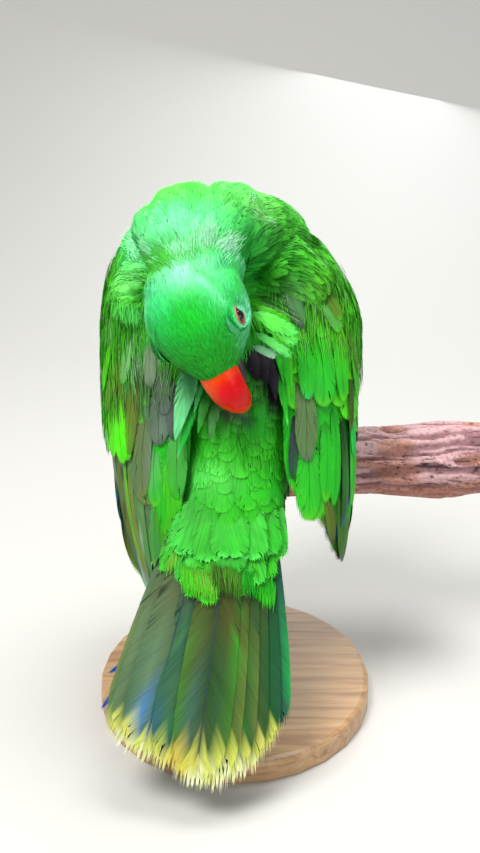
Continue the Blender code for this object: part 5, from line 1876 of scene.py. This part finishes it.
DROOPING = (
    # The first three feathers are dark, as painted shade in the hollow beside the bill.
    ((249, 350), 5, (258, 382), 1, 4.6, HOLLOW_SHADE_PURPLE, INK, 0.5, 0.5),
    ((260, 350), 5, (267, 386), 1, 4.6, HOLLOW_SHADE_PURPLE, INK, 0.5, 0.5),
    ((271, 354), 5, (276, 402), 1, 3.6, HOLLOW_SHADE_PURPLE, INK, 0.5, 0.5),
    ((276, 348), 6, (284, 384), 2, 1.6, GRASS, LIME, 0.8, 2.0),
    ((282, 346), 6, (290, 398), 1, 1.8, GRASS, LIME, 0.8, 2.0),
    ((289, 345), 8, (291, 402), 3, 1.7, mix(LIME, GRASS, 0.6), GRASS, 0.8, 2.0),
    ((280, 372), 6, (288, 426), 2, 2.0, GRASS, SPRING, 0.8, 1.0),
    ((276, 366), 6, (282, 406), 2, 1.4, mix(GRASS, DEEP_GREEN, 0.4), LIME, 0.8, 1.0),
    ((191, 368), 2, (175, 441), -3, 5.6, mix(mix(GRASS, MINT, 0.55), PALE_HAIR, 0.15), mix(MINT, GRASS, 0.3), 0.4, 2.5),
    ((201, 384), 2, (194, 414), 0, 1.8, mix(GRASS, MINT, 0.3), SPRING, 0.6, 2.0),
    ((196, 404), 1, (177, 458), 0, 2.4, mix(GRASS, EMERALD, 0.4), mix(MINT, GRASS, 0.4), 0.8, 1.5),
    ((206, 396), 0, (198, 434), -2, 2.6, mix(GRASS, STONE_GREEN, 0.3), GRASS, 0.9, 1.0),
    ((216, 404), 2, (210, 440), -3, 3.0, mix(GRASS, STONE_GREEN, 0.6), STONE_GREEN, 0.9, 1.0),
    ((258, 398), 2, (262, 442), -3, 3.4, mix(GRASS, DEEP_GREEN, 0.4), GRASS, 0.9, 1.0),
    # A black feather laid beside the pale one as painted shadow.
    ((198, 390), 3, (180, 450), 1, 1.9, INK, INK, 0.3, 1.0),
)


def make_ruffled(name, rows, plan, looks, fray=0.0, shards=0.0):
    rng = np.random.default_rng(71)
    s = np.linspace(0, 1, 10)[:, None]
    lines, facings = [], []
    for root, root_deep, tip, tip_deep, *_, sag in rows:
        start = from_photo(root, root_deep)
        end = from_photo(tip, tip_deep)
        arch = -TO_BELLY * sag * np.sin(math.pi * s)
        lines.append(start + (end - start) * s + arch)
        along = unit(end - start)
        facing = unit(-TO_BELLY + along * (TO_BELLY @ along))
        facings.append(np.broadcast_to(facing, (len(s), 3)))
    line = np.stack(lines)
    facing = np.stack(facings)
    half = np.array([row[4] for row in rows])
    main = np.array([row[5] for row in rows])
    edge = np.array([row[6] for row in rows])
    ragged = np.array([row[7] for row in rows])[:, None]
    points = grow_feathers(plan, line, facing, half, rng, 0.15, ragged * 0.35, 0.1, 0.7, fray=fray, shards=shards)
    tints = feather_tints(plan, main * 0.5, main, edge, 0.75, 0.3)
    tints = tints * (0.7 + 0.55 * clouds(points / 2.2, 72))[..., None]
    places = np.clip(body_unwrap(line[:, 0]), 0.02, 0.98)
    feather_object(name, plan, points, tints, places, looks["covert"], "plumage")


# Loose wisps over the neck. Each row: a line of roots in the photo's pixels, how many, the way and length
# their tips go in pixels, how far they stand off in mm, and their colour.
# The near-white and mint wisps along the ruffles' rims and round the nape are painted highlight, the sheen of the light
# on the feathers' edges; the green wisps are the coat's own colour.
WISPS = (
    (((112, 296), (124, 306), (140, 312)), 260, (-1, 26), 2.0, screen(92, 226, 92)),
    (((110, 302), (118, 312), (128, 318)), 160, (0, 24), 1.8, screen(72, 214, 52)),
    (((134, 314), (144, 320), (152, 328)), 130, (3, 22), 1.8, screen(60, 190, 80)),
    (((172, 256), (182, 258), (196, 258)), 150, (-4, -14), 2.0, mix(WHITE_MINT, MINT, 0.55)),
    (((196, 256), (206, 252), (214, 250)), 150, (-1, -20), 2.6, mix(WHITE_MINT, MINT, 0.35)),
    (((204, 244), (210, 240), (214, 236)), 90, (-3, -13), 3.4, WHITE_MINT),
    (((214, 254), (222, 254), (230, 262)), 200, (12, -15), 2.6, mix(WHITE_MINT, MINT, 0.3)),
    (((222, 246), (228, 244), (232, 242)), 70, (8, -7), 3.4, WHITE_MINT),
    (((158, 262), (152, 254), (146, 248)), 160, (-16, -9), 2.4, mix(WHITE_MINT, MINT, 0.6)),
    (((150, 250), (140, 240), (134, 236)), 120, (-12, -5), 3.0, mix(WHITE_MINT, MINT, 0.5)),
    (((126, 240), (132, 250), (138, 262)), 120, (-5, -12), 1.6, mix(WHITE_MINT, MINT, 0.6)),
    (((151, 224), (153, 208), (160, 194), (170, 184)), 300, (-3, -5), 1.2, WHITE_MINT),
    (((206, 190), (218, 182), (234, 181), (246, 190), (252, 202)), 340, (2, -5), 1.2, mix(WHITE_MINT, SPRING, 0.3)),
    (((142, 216), (147, 206), (151, 200)), 120, (2, -16), 2.0, SPRING),
    (((176, 186), (190, 180), (204, 182)), 160, (9, -10), 2.0, SPRING),
    (((244, 206), (258, 214), (270, 222)), 90, (5, 4), 1.6, mix(WHITE_MINT, KHAKI, 0.5)),
)


# No wisp grows where the skin turns this far from the camera.
GRAZING = 0.3


def seen_on_skin(pixel):
    """Where the camera's ray through a pixel first meets the skin, the normal there, and how squarely it meets."""
    far = from_photo(pixel, 0.0)
    way = unit(far - CAMERA_AT)
    place, _, face, _ = surface.tree.ray_cast(CAMERA_AT, way)
    if place is None:
        return far, way, 0.0
    normal = unit(surface.normals[surface.quads[face]].mean(axis=0))
    return np.array(place), normal, abs(way @ normal)


def make_wisps(looks):
    rng = np.random.default_rng(91)
    lines, facings, mains, roots = [], [], [], []
    s = np.linspace(0, 1, 6)[:, None]
    for path, number, way, off, colour in WISPS:
        path = np.array(path, float)
        keys = np.linspace(0, 1, len(path))
        for at in rng.random(number):
            pixel = np.array([through(keys, path[:, k], at) for k in (0, 1)]) + rng.normal(0, 3.6, 2)
            root, normal, squarely = seen_on_skin(pixel)
            step = np.array(way) * (0.6 + 0.6 * rng.random()) + rng.normal(0, 2.2, 2)
            if squarely < GRAZING:
                continue
            roots.append(nape_tint(root[None], normal[None])[0])
            push = (step[0] * SIDE - step[1] * UP_BACK) * 0.5
            push = push - normal * (push @ normal)
            lift = 0.8 + 1.4 * s + off * rng.random() * s**2
            lines.append(root + push * s + normal * lift)
            facings.append(np.broadcast_to(normal, (len(s), 3)))
            mains.append(colour * (0.86 + 0.22 * rng.random()))
    line, facing, main = np.stack(lines), np.stack(facings), np.stack(mains)
    widths = 0.12 + 0.12 * rng.random(len(line))
    points = grow_feathers(Blade, line, facing, widths, rng, 0.1, 0.0, 0.0)
    tints = feather_tints(Blade, np.array(roots), main, main * 1.05, 0.8, 0.9)
    places = np.clip(body_unwrap(line[:, 0]), 0.02, 0.98)
    feather_object("neck_wisps", Blade, points, tints, places, looks["strand"], "plumage")


# ---------------------------------------------------------------- head: eyes, lids and bill


def make_eye(side_name, sign, looks):
    """An eyeball with a raised cornea, and round it two lids and their folds."""
    ahead, up, left = EYE_AT
    centre = in_head(ahead, up, sign * left)
    outward = sign * HEAD_LEFT
    first = HEAD_FORWARD
    second = np.cross(outward, first)
    rings, sides = 40, 56
    turns = np.linspace(0.0, math.pi * 0.72, rings)[:, None]
    angles = (np.arange(sides) * 2 * math.pi / sides)[None, :]
    cornea = 0.55 * np.exp(-((turns / 0.42) ** 4))
    radius = EYE_RADIUS - 0.15 + cornea
    points = centre + outward * (radius * np.cos(turns) * np.ones_like(angles))[..., None]
    flat = (radius * np.sin(turns))[..., None]
    points = points + flat * (np.cos(angles)[..., None] * first + np.sin(angles)[..., None] * second)
    shape, faces = closed_rings(points[1:])
    reach = np.linalg.norm((shape - centre) - ((shape - centre) @ outward)[:, None] * outward, axis=1)
    maps = {"eye": np.stack((reach / 10, reach * 0), axis=-1)}
    ball = add_mesh(f"eyeball_{side_name}", shape, faces, looks["eye"], maps=maps)
    finished(ball, "eye", f"eye_{side_name}")
    make_lids(side_name, centre, outward, first, second, looks)


LID_OPENING = (4.0, 3.4)
LID_WIDTH = 4.4
LID_RAISED = 0.9
EYE_CLEAR = 5.1


def make_lids(side_name, centre, outward, first, second, looks):
    """A rim round the eye's opening, then folds that fall to meet the skin of the head."""
    rings, sides = 30, 120
    t = np.linspace(0, 1, rings)[:, None]
    angles = (np.arange(sides) * 2 * math.pi / sides)[None, :]
    opening = np.hypot(LID_OPENING[0] * np.cos(angles), LID_OPENING[1] * np.sin(angles))
    reach = opening + LID_WIDTH * t
    around = np.cos(angles)[..., None] * first + np.sin(angles)[..., None] * second
    ball = np.sqrt(np.clip((EYE_RADIUS - 0.15) ** 2 - opening**2, 0.1, None))
    edge = centre + (opening + LID_WIDTH).T * around[0]
    skin, _ = surface.nearest(edge + outward * 4.0)
    meet = ((skin - centre) @ outward)[None, :] - 0.3
    rim = t * LID_WIDTH
    roll = 0.42 * np.sin(np.clip(rim / LID_RAISED, 0, 1) * math.pi) ** 0.7
    folds = 0.1 * np.sin(rim * 7 + 1.2 * np.sin(angles * 3)) * even(0.3, 1.2, rim) + 0.05 * np.sin(angles * 46 + rim * 5)
    fall = even(LID_RAISED * 0.7, LID_WIDTH, rim)
    height = ball + roll + folds * even(0, 0.4, rim) + (meet - ball) * fall
    points = centre + outward * height[..., None] + reach[..., None] * around
    tints = mix(screen(206, 116, 84), screen(60, 190, 110), even(LID_RAISED * 0.8, LID_RAISED * 1.5, rim + 0 * angles))
    tints = mix(tints, screen(70, 30, 22), even(0.25, 0.0, rim + 0 * angles))
    name = f"eyelids_{side_name}"
    made = add_mesh(name, points.reshape(-1, 3), ring_faces(rings, sides), looks["lid"], tints.reshape(-1, 3))
    finished(made, "plumage")


def make_eye_tufts(side_name, sign, looks):
    """The smallest feathers, in rows from the lid's rim over its fall to the coat of the head."""
    rng = np.random.default_rng(81)
    ahead, up, left = EYE_AT
    centre = in_head(ahead, up, sign * left)
    outward = sign * HEAD_LEFT
    first = HEAD_FORWARD
    second = np.cross(outward, first)
    ball = math.sqrt((EYE_RADIUS - 0.15) ** 2 - LID_OPENING[0] ** 2)
    lines = []
    for row in range(11):
        near = LID_OPENING[0] + LID_RAISED * 0.95 + 0.42 * row
        number = 62 + 4 * row
        angles = (np.arange(number) + 0.5 * (row % 2) + 0.4 * rng.random(number)) * 2 * math.pi / number
        reach = near + 0.15 * rng.random(number)
        swirl = angles + 0.25 * np.sin(angles)
        s = np.linspace(0, 1, 5)[None, :]
        out = reach[:, None] + 2.0 * s
        turn = angles[:, None] + (swirl - angles)[:, None] * s * 0.6
        around = np.cos(turn)[..., None] * first + np.sin(turn)[..., None] * second
        at = centre + outward * ball + out[..., None] * around
        rest, facing = surface.nearest(at.reshape(-1, 3))
        rest = rest.reshape(at.shape)
        facing = facing.reshape(at.shape)
        fall = even(LID_RAISED * 0.6, LID_WIDTH + 1.6, out - LID_OPENING[0])[..., None]
        flat = rest - outward * ((rest - centre) @ outward)[..., None]
        above = 1.5 - 0.95 * even(2.4, 5.6, out - LID_OPENING[0])[..., None]
        place = at * (1 - fall) + (rest + facing * above) * fall
        lines.append(place + outward * (0.12 + 0.3 * s * (1 - 0.5 * s))[..., None])
    line = np.concatenate(lines)
    facing = np.broadcast_to(outward, line.shape)
    widths = 0.34 + 0.1 * rng.random(len(line))
    points = grow_feathers(Blade, line, facing, widths, rng, 0.1, 0.0, 0.0)
    main = head_tint(line[:, 2], facing[:, 2]) * varied(np.ones(3), rng, len(line), 0.15, 0.05)
    tints = feather_tints(Blade, main * 1.1, main * 1.25, main * 1.25, 0.9)
    places = head_unwrap(line[:, 0])
    feather_object(f"eye_tufts_{side_name}", Blade, points, tints, places, looks["velvet"], "plumage")


def upper_bill_rings(rings=72, sides=64, inset=0.0):
    share = np.linspace(0, 1, rings)
    keys = np.linspace(0, 1, len(BILL_HALF_WIDTHS))
    widths = through(keys, BILL_HALF_WIDTHS, share)[:, None]
    rises = through(keys, BILL_RISES, share)[:, None]
    drops = through(keys, BILL_DROPS, share)[:, None]
    turn = (BILL_START_ANGLE + BILL_TURN * share)[:, None]
    ahead = BILL_ROOT[0] + BILL_ARC_RADIUS * (np.sin(turn) - math.sin(BILL_START_ANGLE))
    up = BILL_ROOT[1] - BILL_ARC_RADIUS * (math.cos(BILL_START_ANGLE) - np.cos(turn))
    angles = np.arange(sides) * 2 * math.pi / sides
    rise = np.cos(angles)
    ridge = 0.35 * np.exp(-((np.minimum(angles, 2 * math.pi - angles) / 0.3) ** 2)) * even(0, 0.3, share)[:, None]
    lines = 0.05 * np.sin(share * 90)[:, None] * (1 - share[:, None])
    heights = np.where(rise > 0, rises, drops) * rise + ridge + lines * rise
    up = up + heights * np.cos(turn)
    left = (widths + lines) * np.sin(angles)
    swung = left * math.cos(BILL_TWIST) + up * math.sin(BILL_TWIST)
    up = up * math.cos(BILL_TWIST) - left * math.sin(BILL_TWIST)
    return in_head(ahead + heights * np.sin(turn), up, swung), share


def lower_bill_rings(rings=40, sides=48):
    ahead = np.linspace(LOWER_BILL_PLACES[0], LOWER_BILL_PLACES[-1], rings)
    widths = through(LOWER_BILL_PLACES, LOWER_BILL_HALF_WIDTHS, ahead)[:, None]
    tops = through(LOWER_BILL_PLACES, LOWER_BILL_TOPS, ahead)[:, None]
    depths = through(LOWER_BILL_PLACES, LOWER_BILL_DEPTHS, ahead)[:, None]
    angles = np.arange(sides) * 2 * math.pi / sides
    heights = tops - depths / 2 * (1 - np.cos(angles))
    return in_head(ahead[:, None], heights, widths * np.sin(angles))


def make_bill(looks):
    rings, share = upper_bill_rings()
    points, faces = closed_rings(rings)
    sides = rings.shape[1]
    along = np.concatenate((np.repeat(share, sides), [0, 1]))
    red = screen(230, 0, 14)
    orange = screen(246, 82, 0)
    yellow = screen(240, 130, 10)
    side = body_place(points)[0]
    painted_shade_red = screen(206, 0, 4)
    tints = mix(orange, red, even(0.0, 0.24, along))
    # Painted shade: a deeper red down the bill's right side, away from the light.
    tints = mix(tints, painted_shade_red, even(-2, 8, side) * even(0.1, 0.3, along) * 0.8)
    tints = mix(tints, orange, even(0.5, 0.82, along))
    # Painted light: orange down the bill's left side, towards the light.
    tints = mix(tints, orange, even(-5, -13, side) * 0.8)
    tints = mix(tints, yellow, even(0.84, 1.0, along) * 0.8)
    upper = add_mesh("bill_upper_horn", points, faces, looks["bill"], tints)
    finished(upper, "bill_orange", "bill_upper")
    points, faces = closed_rings(lower_bill_rings())
    lower = add_mesh("bill_lower_horn", points, faces, looks["bill_black"])
    finished(lower, "bill_black", "bill_lower")


# ---------------------------------------------------------------- perch, feet and stand


def perch_radius(along, angles, fine=True):
    knots = 1.3 * np.sin(along * 0.055 + 0.6) + 0.7 * np.sin(along * 0.021 + 2 * np.cos(angles))
    ridges = 0.5 * np.sin(5 * angles + along * 0.03) + 0.35 * np.sin(3 * angles - along * 0.05)
    away = np.clip((np.abs(along) - PERCH_SMOOTH) / 20, 0, 1)
    return PERCH_RADIUS + (knots + ridges) * away, away


def make_perch(looks):
    rings, sides = 360, 170
    along = np.linspace(*PERCH_ENDS, rings)[:, None]
    angles = (np.arange(sides) * 2 * math.pi / sides)[None, :]
    radius, away = perch_radius(along, angles)
    wrap = np.stack(np.broadcast_arrays(along / 10, np.cos(angles) * 7, np.sin(angles) * 7), axis=-1)
    drift = clouds(wrap * 0.5, 50)[..., None] * 2.4
    flakes = clouds(wrap * np.array([0.45, 1.0, 1.0]) + drift, 51)
    splits = clouds(wrap * np.array([0.7, 2.4, 2.4]) + drift, 52)
    lumps = clouds(wrap * 0.45, 55)
    grain = clouds(wrap * np.array([1.6, 4.0, 4.0]), 53)
    step = even(0.42, 0.5, flakes) + 0.7 * even(0.54, 0.62, flakes)
    crack = np.exp(-(((splits - 0.5) / 0.035) ** 2)) * even(0.35, 0.6, lumps + 0.25 * flakes)
    relief = 0.9 * (step - 0.8) + 1.6 * (lumps - 0.5) + 0.5 * (grain - 0.5) - 0.9 * crack
    radius = radius - 0.5 + relief * (0.3 + 0.7 * away)
    sway = away * 1.5 * np.sin(along * 0.03)
    y = PERCH_MIDDLE[1] + radius * np.cos(angles) + sway
    z = PERCH_MIDDLE[2] + radius * np.sin(angles) + along * PERCH_RISE
    rings_made = np.stack(np.broadcast_arrays(along, y, z), axis=-1)
    points, faces = closed_rings(rings_made)
    rose = screen(206, 164, 166)
    mauve = screen(158, 116, 120)
    plum = screen(74, 44, 48)
    rust = screen(178, 116, 88)
    tone = mix(mauve, rose, even(0.3, 1.3, step + 0.6 * (grain - 0.5)))
    tone = mix(tone, rust, even(0.55, 0.75, clouds(wrap * 0.4, 54)) * 0.6)
    tone = mix(tone, plum, np.clip(crack * 0.85 + even(0.45, 0.3, flakes) * 0.35, 0, 1))
    under = even(-0.1, -0.8, np.sin(angles) * np.ones_like(along))
    tone = mix(tone, rust, under * 0.55)
    tints = np.concatenate((tone.reshape(-1, 3), [screen(190, 160, 120)] * 2))
    piece = add_mesh("perch_bark", points, faces, looks["bark"], tints)
    finished(piece, "bark", "perch")


def on_perch(side, angle, height):
    side, angle, height = np.broadcast_arrays(side, angle, height)
    middle = PERCH_MIDDLE + np.stack((side, side * 0, side * PERCH_RISE), axis=-1)
    way = np.stack((angle * 0, np.sin(angle), np.cos(angle)), axis=-1)
    return middle + (PERCH_RADIUS + height)[..., None] * way


def make_foot(side_name, looks):
    """Shank and four toes with rows of scutes."""
    sign = -1 if side_name == "left" else 1
    middle = sign * FOOT_SIDE
    parts = []
    top = on_perch(middle, 0.0, SHANK_RADIUS + TOE_LIFT)
    heel = in_body(np.float64(middle), *map(np.float64, THIGH_LINE[-1][1:]))
    heel = heel + unit(heel - top) * 3.0
    steps = np.linspace(0, 1, 60)
    scutes = 0.22 * np.abs(np.sin(steps * 22))
    centres = heel + (top - heel) * steps[:, None]
    parts.append(closed_rings(tube_rings(centres, SHANK_RADIUS - 0.25 + scutes, 40)))
    for way, splay, reach in TOES.values():
        steps = np.linspace(-0.1, 1, 84)
        angles = way * np.radians(reach) * steps
        sides = middle + sign * splay * (0.1 + 0.9 * steps)
        radii = TOE_RADIUS * (1 - 0.2 * steps)
        pads = 0.3 * np.cos(steps * 19)
        line = on_perch(sides, angles, TOE_LIFT + radii)
        taper = np.clip((1.02 - steps) * 12, 0.35, 1) ** 0.5
        scutes = 0.2 * np.abs(np.sin(steps * 33))
        parts.append(closed_rings(tube_rings(line, (radii - 0.45 + 0.3 * pads + scutes) * taper, 36)))
    points, faces = joined(parts)
    foot = add_mesh(f"foot_skin_{side_name}", points, faces, looks["scales"])
    finished(foot, "foot_scales", f"foot_{side_name}")


def dress_nodes(looks):
    """Materials of the solids that stay as they are."""
    for name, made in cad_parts.items():
        for start, look in (("claw", "claw"), ("stand_base", "wood"), ("stand_rod", "steel")):
            if name.startswith(start):
                made.data.materials.clear()
                made.data.materials.append(looks[look])


def make_looks():
    looks = {}
    looks["velvet"] = feather_material("feather_velvet", 2.0, 0.3, 0.06, 0.6, 0.0, 0.15, 0.08)
    looks["soft"] = feather_material("feather_soft", 11.0, 1.2, 0.26, 0.6, 0.0, 0.4, 0.08)
    looks["body"] = feather_material("feather_body", 20.0, 1.15, 0.46, 0.55, 0.06, 0.4, 0.06)
    looks["covert"] = feather_material("feather_covert", 26.0, 0.75, 0.3, 0.5, 0.16, 0.4, 0.05)
    looks["quill"] = feather_material("feather_quill", 100.0, 0.17, 0.26, 0.48, 0.25, 0.4, 0.05)
    looks["strand"] = feather_material("feather_strand", 2.0, 0.0, 0.1, 0.55, 0.0, 0.1, 0.08)
    looks["skin"] = skin_material()

    n = Nodes("eye_wet")
    spot = n.add("ShaderNodeUVMap")
    spot.uv_map = "eye"
    reach = n.add("ShaderNodeSeparateXYZ", Vector=spot.outputs["UV"]).outputs["X"]
    place = n.add("ShaderNodeTexCoord")
    flecks = n.noise(place.outputs["Object"], 1400.0, 4.0)
    reach = n.math("ADD", reach, n.math("MULTIPLY", n.math("SUBTRACT", flecks, 0.5), 0.05))
    colour = n.ramp(
        reach,
        (0.0, screen(5, 4, 4)), (0.24, screen(6, 5, 5)), (0.262, screen(34, 15, 8)), (0.35, screen(62, 28, 14)),
        (0.40, screen(30, 14, 8)), (0.44, screen(10, 7, 6)),
    )
    looks["eye"] = n.surface(colour, 0.08, Coat_Weight=0.35, Coat_Roughness=0.03, Specular_IOR_Level=0.35)

    n = Nodes("eyelid")
    tint = n.add("ShaderNodeAttribute")
    tint.attribute_name = "tint"
    place = n.add("ShaderNodeTexCoord")
    wrinkles = n.noise(place.outputs["Object"], 1500.0, 4.0)
    n.bump(wrinkles, 0.5, 0.25)
    shade = n.ramp(wrinkles, (0.3, 0.6), (0.7, 1.1))
    looks["lid"] = n.surface(n.blend(1.0, tint.outputs["Color"], shade, "MULTIPLY"), 0.5)

    n = Nodes("bill_horn")
    tint = n.add("ShaderNodeAttribute")
    tint.attribute_name = "tint"
    place = n.add("ShaderNodeTexCoord")
    grain = n.noise(place.outputs["Object"], 260.0, 5.0, 0.6)
    shade = n.ramp(grain, (0.3, 0.86), (0.7, 1.08))
    n.bump(grain, 0.15, 0.3)
    colour = n.blend(1.0, tint.outputs["Color"], shade, "MULTIPLY")
    looks["bill"] = n.surface(colour, 0.3, Coat_Weight=0.08, Coat_Roughness=0.12, Specular_IOR_Level=0.16)

    n = Nodes("bill_dark")
    place = n.add("ShaderNodeTexCoord")
    grain = n.noise(place.outputs["Object"], 300.0, 5.0, 0.6)
    n.bump(grain, 0.2, 0.3)
    looks["bill_black"] = n.surface(n.ramp(grain, (0.3, screen(22, 20, 20)), (0.7, screen(46, 42, 40))), 0.32)

    n = Nodes("bark_rough")
    tint = n.add("ShaderNodeAttribute")
    tint.attribute_name = "tint"
    place = n.add("ShaderNodeTexCoord")
    fine = n.noise(place.outputs["Object"], 420.0, 6.0, 0.65)
    shade = n.ramp(fine, (0.25, 0.5), (0.5, 0.95), (0.75, 1.25))
    n.bump(fine, 0.9, 0.9)
    looks["bark"] = n.surface(n.blend(1.0, tint.outputs["Color"], shade, "MULTIPLY"), 0.85)

    n = Nodes("foot_scaled")
    place = n.add("ShaderNodeTexCoord")
    cells = n.add("ShaderNodeTexVoronoi", Vector=place.outputs["Object"], Scale=900.0)
    cells.feature = "DISTANCE_TO_EDGE"
    edges = n.ramp(cells.outputs["Distance"], (0.0, 0.0), (0.16, 1.0))
    tone = n.blend(edges, screen(48, 46, 44), screen(112, 110, 106))
    n.bump(edges, 0.6, 0.35)
    looks["scales"] = n.surface(tone, 0.55)

    n = Nodes("claw_horn")
    place = n.add("ShaderNodeTexCoord")
    grain = n.noise(place.outputs["Object"], 500.0, 4.0)
    looks["claw"] = n.surface(n.ramp(grain, (0.3, screen(24, 22, 22)), (0.7, screen(52, 48, 46))), 0.3)

    n = Nodes("stand_wood_grain")
    place = n.add("ShaderNodeTexCoord")
    stretched = n.add("ShaderNodeMapping", Vector=place.outputs["Object"])
    stretched.inputs["Scale"].default_value = (1.0, 14.0, 14.0)
    rings = n.noise(stretched.outputs["Vector"], 16.0, 5.0, 0.55, 0.6)
    colour = n.ramp(rings, (0.3, screen(150, 112, 74)), (0.5, screen(186, 146, 102)), (0.72, screen(204, 168, 124)))
    n.bump(rings, 0.15, 0.3)
    looks["wood"] = n.surface(colour, 0.42, Coat_Weight=0.2, Coat_Roughness=0.3)

    n = Nodes("stand_steel_brushed")
    place = n.add("ShaderNodeTexCoord")
    stretched = n.add("ShaderNodeMapping", Vector=place.outputs["Object"])
    stretched.inputs["Scale"].default_value = (1.0, 1.0, 60.0)
    lines = n.noise(stretched.outputs["Vector"], 60.0, 3.0)
    colour = n.ramp(lines, (0.3, screen(150, 150, 150)), (0.7, screen(190, 190, 190)))
    n.bump(lines, 0.05, 0.1)
    looks["steel"] = n.surface(colour, 0.3, Metallic=1.0)
    return looks


def make_skin_piece(surface, regions, looks):
    points, normals = surface.points, surface.normals
    weights = np.zeros((len(points), 3))
    counts = np.zeros(len(points))
    middles = points[surface.quads].mean(axis=1)
    facing = normals[surface.quads].mean(axis=1)
    tone = np.zeros((len(middles), 3))
    for name, tint in (("head", head_tint), ("neck", neck_tint), ("back", back_tint), ("front", front_tint)):
        tone[regions[name]] = tint(middles[regions[name]], facing[regions[name]])
    tone[regions["head"]] *= 1.6
    tone[regions["thigh"]] = GRASS
    tone[regions["wing"]] = GRASS
    for k in range(4):
        np.add.at(weights, surface.quads[:, k], tone)
        np.add.at(counts, surface.quads[:, k], 1)
    # The skin is painted darker than the coat over it: partly the grey down at the feathers' roots, partly painted
    # shade in the gaps between feathers. It is less dark behind the head and at the neck's top.
    ahead = head_place(points)[0]
    bare = even(-30, -15, ahead) * even(-10, -25, body_place(points)[2])
    over = even(100, 118, body_place(points)[1])
    tints = weights / np.maximum(counts, 1)[:, None] * (0.58 + 0.25 * np.maximum(bare, over))[:, None]
    maps = {"OFBake": np.clip(body_unwrap(points), 0, 1)}
    skin = add_mesh("skin", points, surface.quads, looks["skin"], tints, maps)
    nodes = ("trunk", "neck", "head", "wing_left", "wing_right", "thigh_left", "thigh_right")
    finished(skin, "plumage", *nodes)


make_camera()
make_studio()
looks = make_looks()
surface = Surface(*make_skin())
regions = make_coat(surface, looks)
make_skin_piece(surface, regions, looks)
for side_name, sign, quills in (("left", 1, LEFT_QUILLS), ("right", -1, RIGHT_QUILLS)):
    make_coverts(side_name, looks)
    make_quills(side_name, quills, looks)
    make_wing_strands(side_name, looks)
    make_shown(side_name, LEFT_SHOWN if side_name == "left" else RIGHT_SHOWN, looks)
    make_eye(side_name, sign, looks)
    make_eye_tufts(side_name, sign, looks)
    make_foot(side_name, looks)
make_clear_primaries(looks)
make_ruffled("ruffled_feathers", COMBED, Vane(60, rim=0.9, spread=0.2, widest=0.72, power=2.8, root=0.5), looks, 1.5, 0.14)
make_ruffled("drooping_feathers", DROOPING, Vane(44, rim=0.93, spread=0.1, widest=0.3, power=1.3, root=0.8), looks)
make_wisps(looks)
make_tail(looks)
make_rump_fringe(looks)
make_bill(looks)
make_perch(looks)
dress_nodes(looks)
